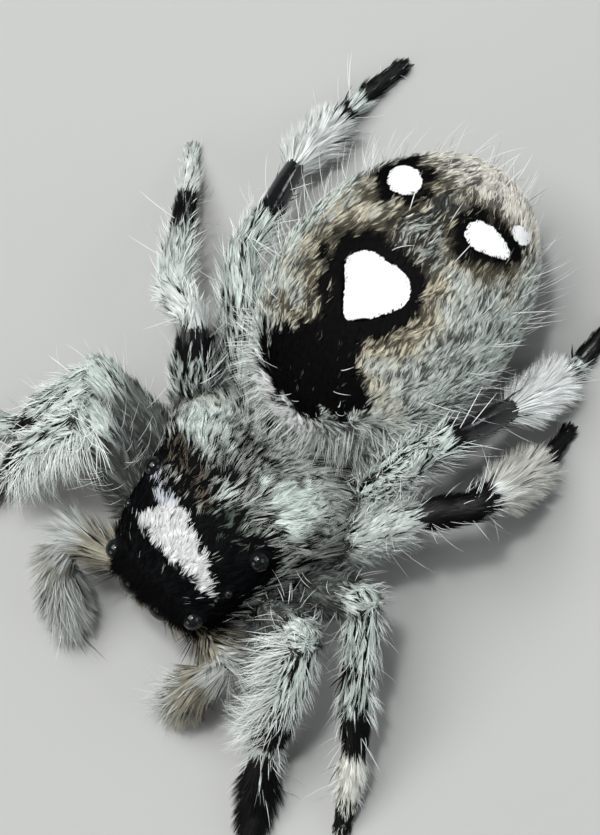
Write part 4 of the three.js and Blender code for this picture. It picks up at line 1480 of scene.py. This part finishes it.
class SPIDER_OT_leg_coat(bpy.types.Operator):
    """The streaky hair of the legs and the white hair of the palps"""

    bl_idname = "spider.leg_coat"
    bl_label = "Leg and palp coat"

    def execute(self, context):
        size = sizes()
        c = hues()
        rng = np.random.default_rng(size.seed + 2)
        skin = bpy.data.objects["skin"].data

        def keep(points, facing):
            at = on_limbs(points)
            pale, bare = leg_markings(at.limb, at.along)
            ours = (at.gap < ON_LIMB) & (on_abdomen(points).gap > 0.02)
            return ours * (1 - 0.99 * bare) * (0.75 + 0.25 * (pale > 0.3)) * np.where(facing[:, 2] < -0.5, 0.5, 1.0)

        p, n = scatter(skin, size.leg_hairs, keep, rng)
        at = on_limbs(p)
        limb, palp, along, count = at.limb, at.palp, at.along, len(p)
        reach = np.array([
            [np.linalg.norm(joints[k + 1] - joints[k]) if k + 1 < len(joints) else 1 for k in range(6)]
            for _, joints, _ in LIMBS
        ])[limb, at.length]
        fine = np.where(palp, 1.0, smoothstep(5.8, 4.3, along))
        # The two front legs carry a thick black brush on the metatarsus.
        brush = np.isin(limb, (0, 4)) * plateau(4.2, 4.4, 5.3, 5.7, along)
        leader = leaders_of(p, limb, 9.0, rng)
        turn = 0.13 * waves(p, 0.8, 41) + shared(rng.normal(0, 0.12, count), leader, 0.3)
        lie = laid(at.axis, n, turn)
        # Hair hangs a little longer at the sides and below than it lies on top.
        side = smoothstep(0.7, 0.0, n[:, 2])
        length = size.leg_hair * (0.65 + 0.5 * rng.random(count)) * (0.55 + 0.45 * fine) * (1 + 0.2 * side * fine)
        length = length * np.where(palp, 1.7, 1.0) * (1 + 0.5 * brush)
        # Longer hair hides the roots of the legs, and a tuft the claws.
        root_of_leg = smoothstep(1.7, 1.0, along) * ~palp
        tuft = smoothstep(5.7, 5.9, along)
        # The knees are combed flat.
        knee = np.exp(-(((along - 2.02) / 0.16) ** 2)) * ~palp
        length = length * (1 + 0.35 * root_of_leg) * (1 - 0.12 * knee)
        middle = along + 0.55 * length / reach
        pale = leg_markings(limb, middle)[0]
        # Thin dark streaks run down the limbs between the pale locks.
        field = 0.95 * streaks(at.around, along * reach, limb, 43) + rng.normal(0, 0.16, count)
        chance = 1 / (1 + np.exp(-1.7 * shared(field, leader, 0.7)))
        is_pale = chance < pale
        whiter = smoothstep(0.8, 0.92, pale)
        # The white metatarsi of the two rear pairs are bottle brushes.
        bottle = whiter * np.isin(limb, (2, 3, 7)) * plateau(3.5, 3.7, 4.6, 4.95, along)
        length = length * (1 + 0.35 * bottle)
        colour = mixed(c.pale_hair, c.white_scale, 0.6 * whiter)
        warm = np.where(palp, 0.7 * (1 - whiter), 0.3 * np.isin(limb, (1, 2)) * (along > 3.55))
        colour = mixed(colour, c.tan_hair * 1.2, warm)
        level = 0.34 + 0.72 * shared(rng.random(count), leader, 0.4) + 0.06 * whiter
        # Each limb's own level, partly painted light and shade.
        level = level * np.array(LIMB_BRIGHTNESS)[limb]
        # The first two pairs have soft grey femora, darkened partly by painted shade, and the palps are duller than the
        # legs.
        dim = dim_femur(at, 1.6, 1.9)
        level = level * (1 - 0.72 * dim) * np.where(palp, 0.57, 1.0)
        black = c.black_hair * (0.5 + 2.5 * rng.random(count))[:, None]
        black = mixed(black, c.grey_hair * 0.09, dim)
        tip = np.where(is_pale[:, None], colour * level[:, None], black)
        tip = np.clip(tip, 0, 0.97)
        # Roots get painted shade, less so in the white hair.
        root = tip * (0.58 + 0.2 * whiter)[:, None]
        width = size.hair_width * (0.9 + 0.5 * rng.random(count)) * (0.8 + 0.2 * fine)
        lift = 0.1 + 0.1 * rng.random(count) + 0.14 * side * fine + 0.12 * whiter * fine
        lift = lift + np.where(palp, 0.26, 0.0) + 0.3 * brush + 0.45 * bottle + 0.15 * root_of_leg + 0.35 * tuft
        lift = lift * (1 - 0.5 * knee)
        parts = [(f"leg_coat_{LIMBS[i][0][3:]}", limb == i) for i in range(8)]
        spots = on_limb_map(along, at.around, np.where(palp, limb - 8, 0), np.where(palp, 2, 1))
        fur = hair_material("leg hair", roughness=0.45, shine=0.12)
        shape = {"length": length, "width": width, "lift": lift, "curl": -0.15, "clump": 0.5, "rings": 1}
        coat_pieces(parts, (p, n), lie, spots, root, tip, "pale_leg_hair", fur, leader=leader, **shape)
        palps = (("palp_coat", palp),)
        coat_pieces(palps, (p, n), lie, spots, root, tip, "palp_hair", fur, leader=leader, **shape)
        return {"FINISHED"}


def inner(limb):
    """The way from a leg to the front and the middle of the body."""
    side = np.where((limb < 4) | (limb == 8), 1.0, -1.0)
    return np.stack([-0.7 * side, np.full(len(limb), -0.7), np.full(len(limb), -0.15)], 1)


def long_fringe(at, facing):
    """Where the front legs carry their longest fringe, in front of patella and tibia, and the palps theirs."""
    here = (np.isin(at.limb, (0, 4)) & (at.along > 1.95) & (at.along < 3.75)) | (at.palp & (at.along > 1.8))
    return here * smoothstep(0.1, 0.5, (facing * inner(at.limb)).sum(1))


def silky(white, level):
    """Pale hair, whiter by a share, at its own level of light."""
    c = hues()
    return mixed(c.pale_hair, c.white_scale, white) * level[:, None]


def grow_fringes(skin, silk):
    """Fine pale hairs along both sides of legs and palps."""
    size = sizes()
    rng = np.random.default_rng(size.seed + 3)

    def keep(points, facing):
        at = on_limbs(points)
        pale, bare = leg_markings(at.limb, at.along)
        edge = plateau(-0.9, -0.3, 0.35, 0.75, facing[:, 2])
        chance = 0.6 * edge * (0.18 + 0.82 * smoothstep(0.2, 0.6, pale)) * (1 - bare)
        chance = chance * np.where(~at.palp & (at.along > 5.0), 0.2, 1.0)
        chance = chance * (1 - 0.8 * np.exp(-(((at.along - 2.02) / 0.15) ** 2)) * ~at.palp)
        chance = chance * (1 - 0.8 * dim_femur(at, 1.75, 1.95))
        chance = np.maximum(chance, long_fringe(at, facing))
        return chance * (at.gap < ON_LIMB) * ((at.length > 0) | at.palp) * (on_abdomen(points).gap > 0.05)

    p, n = scatter(skin, size.fringe_hairs, keep, rng)
    at = on_limbs(p)
    count = len(p)
    leader = leaders_of(p, at.limb, 3.0, rng)
    longest = long_fringe(at, n)
    length = size.long_hair * (0.5 + 0.5 * rng.random(count)) * (1 + 0.75 * longest)
    length = length * np.where(~at.palp & (at.along > 4.3), 0.75, 1.0)
    way = at.axis * (1 - 0.85 * longest)[:, None] + inner(at.limb) * longest[:, None]
    lie = laid(way, n, shared(rng.normal(0, 0.42, count), leader, 0.4))
    lift = 0.5 + 0.45 * shared(rng.random(count), leader, 0.4)
    level = 0.55 + 0.55 * shared(rng.random(count), leader, 0.5)
    level = level * np.where(at.palp, 0.62, 1 - 0.18 * (at.limb == 0))
    # The fringe on the femora of the first two pairs gets the same painted shade, in part.
    level = level * (1 - 0.5 * dim_femur(at, 1.75, 1.95))
    tip = silky(0.4, level)
    # Roots get painted shade, at 0.7 of the tip's colour.
    coat_pieces(
        (("leg_fringe", ~at.palp), ("palp_fringe", at.palp)), (p, n), lie,
        on_limb_map(at.along, at.around, at.limb, 10), tip * 0.7, tip.clip(0, 0.95), "pale_leg_hair", silk,
        leader=leader, length=length, width=0.022, lift=lift, curl=-0.5, rings=2, sway=rng.normal(0, 0.16, count),
        drop=0.2, clump=0.4,
    )


def grow_loose_hairs(skin, silk):
    """Long pale hairs well apart, most of them at the sides."""
    size = sizes()
    rng = np.random.default_rng(size.seed + 4)

    def keep(points, facing):
        at = on_limbs(points)
        on_body = on_abdomen(points).gap < ON_ABDOMEN
        sides = smoothstep(0.85, 0.35, facing[:, 2])
        chance = np.where(on_body, 0.04 + 0.96 * sides, 0.1 + 0.5 * sides)
        chance = np.where(on_body & (white_of_abdomen(points) < 0.3), 0.0, chance)
        chance = np.where(on_body & (points[:, 2] < 1.8), 0.1, chance)
        return chance * (((at.length > 0) & (at.along < 4.9)) | on_body)

    p, n = scatter(skin, size.loose_hairs, keep, rng)
    at = on_limbs(p)
    on_body = on_abdomen(p).gap < ON_ABDOMEN
    count = len(p)
    lie = laid(np.where(on_body[:, None], np.array([0, 1.0, 0]), at.axis), n, rng.normal(0, 0.5, count))
    length = size.long_hair * (0.7 + 0.8 * rng.random(count))
    lift = 0.75 + 0.5 * rng.random(count)
    tip = silky(0.7, 0.6 + 0.3 * rng.random(count)).clip(0, 0.95)
    # The abdomen's hairs have the last of eleven strips of the map.
    spots = on_limb_map(at.along, at.around, at.limb, 11)
    spots = np.where(on_body[:, None], on_abdomen_map(p) * (1 / 11, 1) + (10 / 11, 0), spots)
    # Roots get painted shade, at 0.7 of the tip's colour.
    coat_pieces(
        "long_hair", (p, n), lie, spots, tip * 0.7, tip, "pale_leg_hair", silk, length=length, width=0.021, lift=lift,
        curl=-0.4, rings=4, sway=rng.normal(0, 0.12, count),
    )


def grow_collar(skin, silk):
    """Long pale hairs that radiate from the front of the abdomen over the thorax."""
    size = sizes()
    rng = np.random.default_rng(size.seed + 6)

    def keep(points, facing):
        ours = (on_abdomen(points).gap < ON_ABDOMEN) & (points[:, 2] > 3.2)
        ours = ours * collar(points) * smoothstep(0.1, -0.2, behind_collar(points))
        return ours * (1 - 0.6 * smoothstep(1.3, 2.0, np.abs(points[:, 0] - COLLAR_X)))

    p, n = scatter(skin, size.collar_hairs, keep, rng)
    count = len(p)
    leader = leaders_of(p, np.zeros(count), 3.0, rng)
    ahead = unit(n * (1, 1, 0)) * (1, 1.1, 0) + (0, 0, 0.25)
    ahead = ahead + shared(rng.normal(0, 0.22, (count, 3)), leader, 0.4)
    lie, lift = aimed(ahead, n)
    level = 0.3 + 0.42 * bright_front(p) + 0.5 * shared(rng.random(count), leader, 0.5)
    tip = silky(0.4, level).clip(0, 0.95)
    # Roots get painted shade, at 0.7 of the tip's colour.
    coat_pieces(
        "collar_hair", (p, n), lie, on_abdomen_map(p), tip * 0.7, tip, "abdomen_hair", silk, leader=leader,
        length=size.long_hair * (0.45 + 0.8 * rng.random(count)), width=0.022, lift=lift, curl=0.0, rings=3,
        drop=0.3, clump=0.4,
    )


def grow_spines(skin):
    """Stout dark bristles below tibia and metatarsus."""
    size = sizes()
    rng = np.random.default_rng(size.seed + 5)

    def keep(points, facing):
        at = on_limbs(points)
        low = (facing[:, 2] < 0.5) & (at.gap < ON_LIMB) & ~at.palp
        return 1.0 * low * np.isin(at.length, (3, 4)) * (on_abdomen(points).gap > 0.05)

    p, n = scatter(skin, size.spines, keep, rng)
    at = on_limbs(p)
    count = len(p)
    lie = laid(at.axis, n, rng.normal(0, 0.3, count))
    tip = np.tile(hues().fang * 0.35, (count, 1))
    coat_pieces(
        "leg_spines", (p, n), lie, on_limb_map(at.along, at.around, at.limb, 8), tip, tip, "black_leg",
        hair_material("dark spine", roughness=0.25, shine=0.5), length=0.5 + 0.2 * rng.random(count),
        width=0.06, lift=0.5 + 0.3 * rng.random(count), curl=-0.4, rings=4,
    )


class SPIDER_OT_long_hair(bpy.types.Operator):
    """The fine fringes of legs and palps, the long loose hairs, the collar and the spines"""

    bl_idname = "spider.long_hair"
    bl_label = "Long hair and spines"

    def execute(self, context):
        skin = bpy.data.objects["skin"].data
        silk = hair_material("long pale hair", roughness=0.4, shine=0.3)
        grow_fringes(skin, silk)
        grow_loose_hairs(skin, silk)
        grow_collar(skin, silk)
        grow_spines(skin)
        return {"FINISHED"}


class SPIDER_PT_panel(bpy.types.Panel):
    """Lists the spider's pieces, sizes and colours"""

    bl_idname = "SPIDER_PT_panel"
    bl_label = "Jumping spider"
    bl_space_type = "VIEW_3D"
    bl_region_type = "UI"
    bl_category = "Spider"

    def draw(self, context):
        layout = self.layout
        for operator in OPERATORS:
            layout.operator(operator.bl_idname)
        for group in (context.scene.spider_sizes, context.scene.spider_colours, context.scene.spider_stage):
            for name in own_names(group):
                layout.prop(group, name)


OPERATORS = (
    SPIDER_OT_stage,
    SPIDER_OT_skin,
    SPIDER_OT_shield,
    SPIDER_OT_eyes,
    SPIDER_OT_jaws,
    SPIDER_OT_abdomen_coat,
    SPIDER_OT_shield_coat,
    SPIDER_OT_leg_coat,
    SPIDER_OT_long_hair,
)
CLASSES = (SPIDER_PG_colours, SPIDER_PG_sizes, SPIDER_PG_stage, *OPERATORS, SPIDER_PT_panel)


def register():
    for item in CLASSES:
        bpy.utils.register_class(item)
    bpy.types.Scene.spider_colours = PointerProperty(type=SPIDER_PG_colours)
    bpy.types.Scene.spider_sizes = PointerProperty(type=SPIDER_PG_sizes)
    bpy.types.Scene.spider_stage = PointerProperty(type=SPIDER_PG_stage)


def unregister():
    del bpy.types.Scene.spider_stage
    del bpy.types.Scene.spider_sizes
    del bpy.types.Scene.spider_colours
    for item in reversed(CLASSES):
        bpy.utils.unregister_class(item)


def main():
    register()
    bpy.ops.spider.stage()
    bpy.ops.spider.skin()
    bpy.ops.spider.shield()
    bpy.ops.spider.eyes()
    bpy.ops.spider.jaws()
    bpy.ops.spider.abdomen_coat()
    bpy.ops.spider.shield_coat()
    bpy.ops.spider.leg_coat()
    bpy.ops.spider.long_hair()


if __name__ == "__main__":
    main()
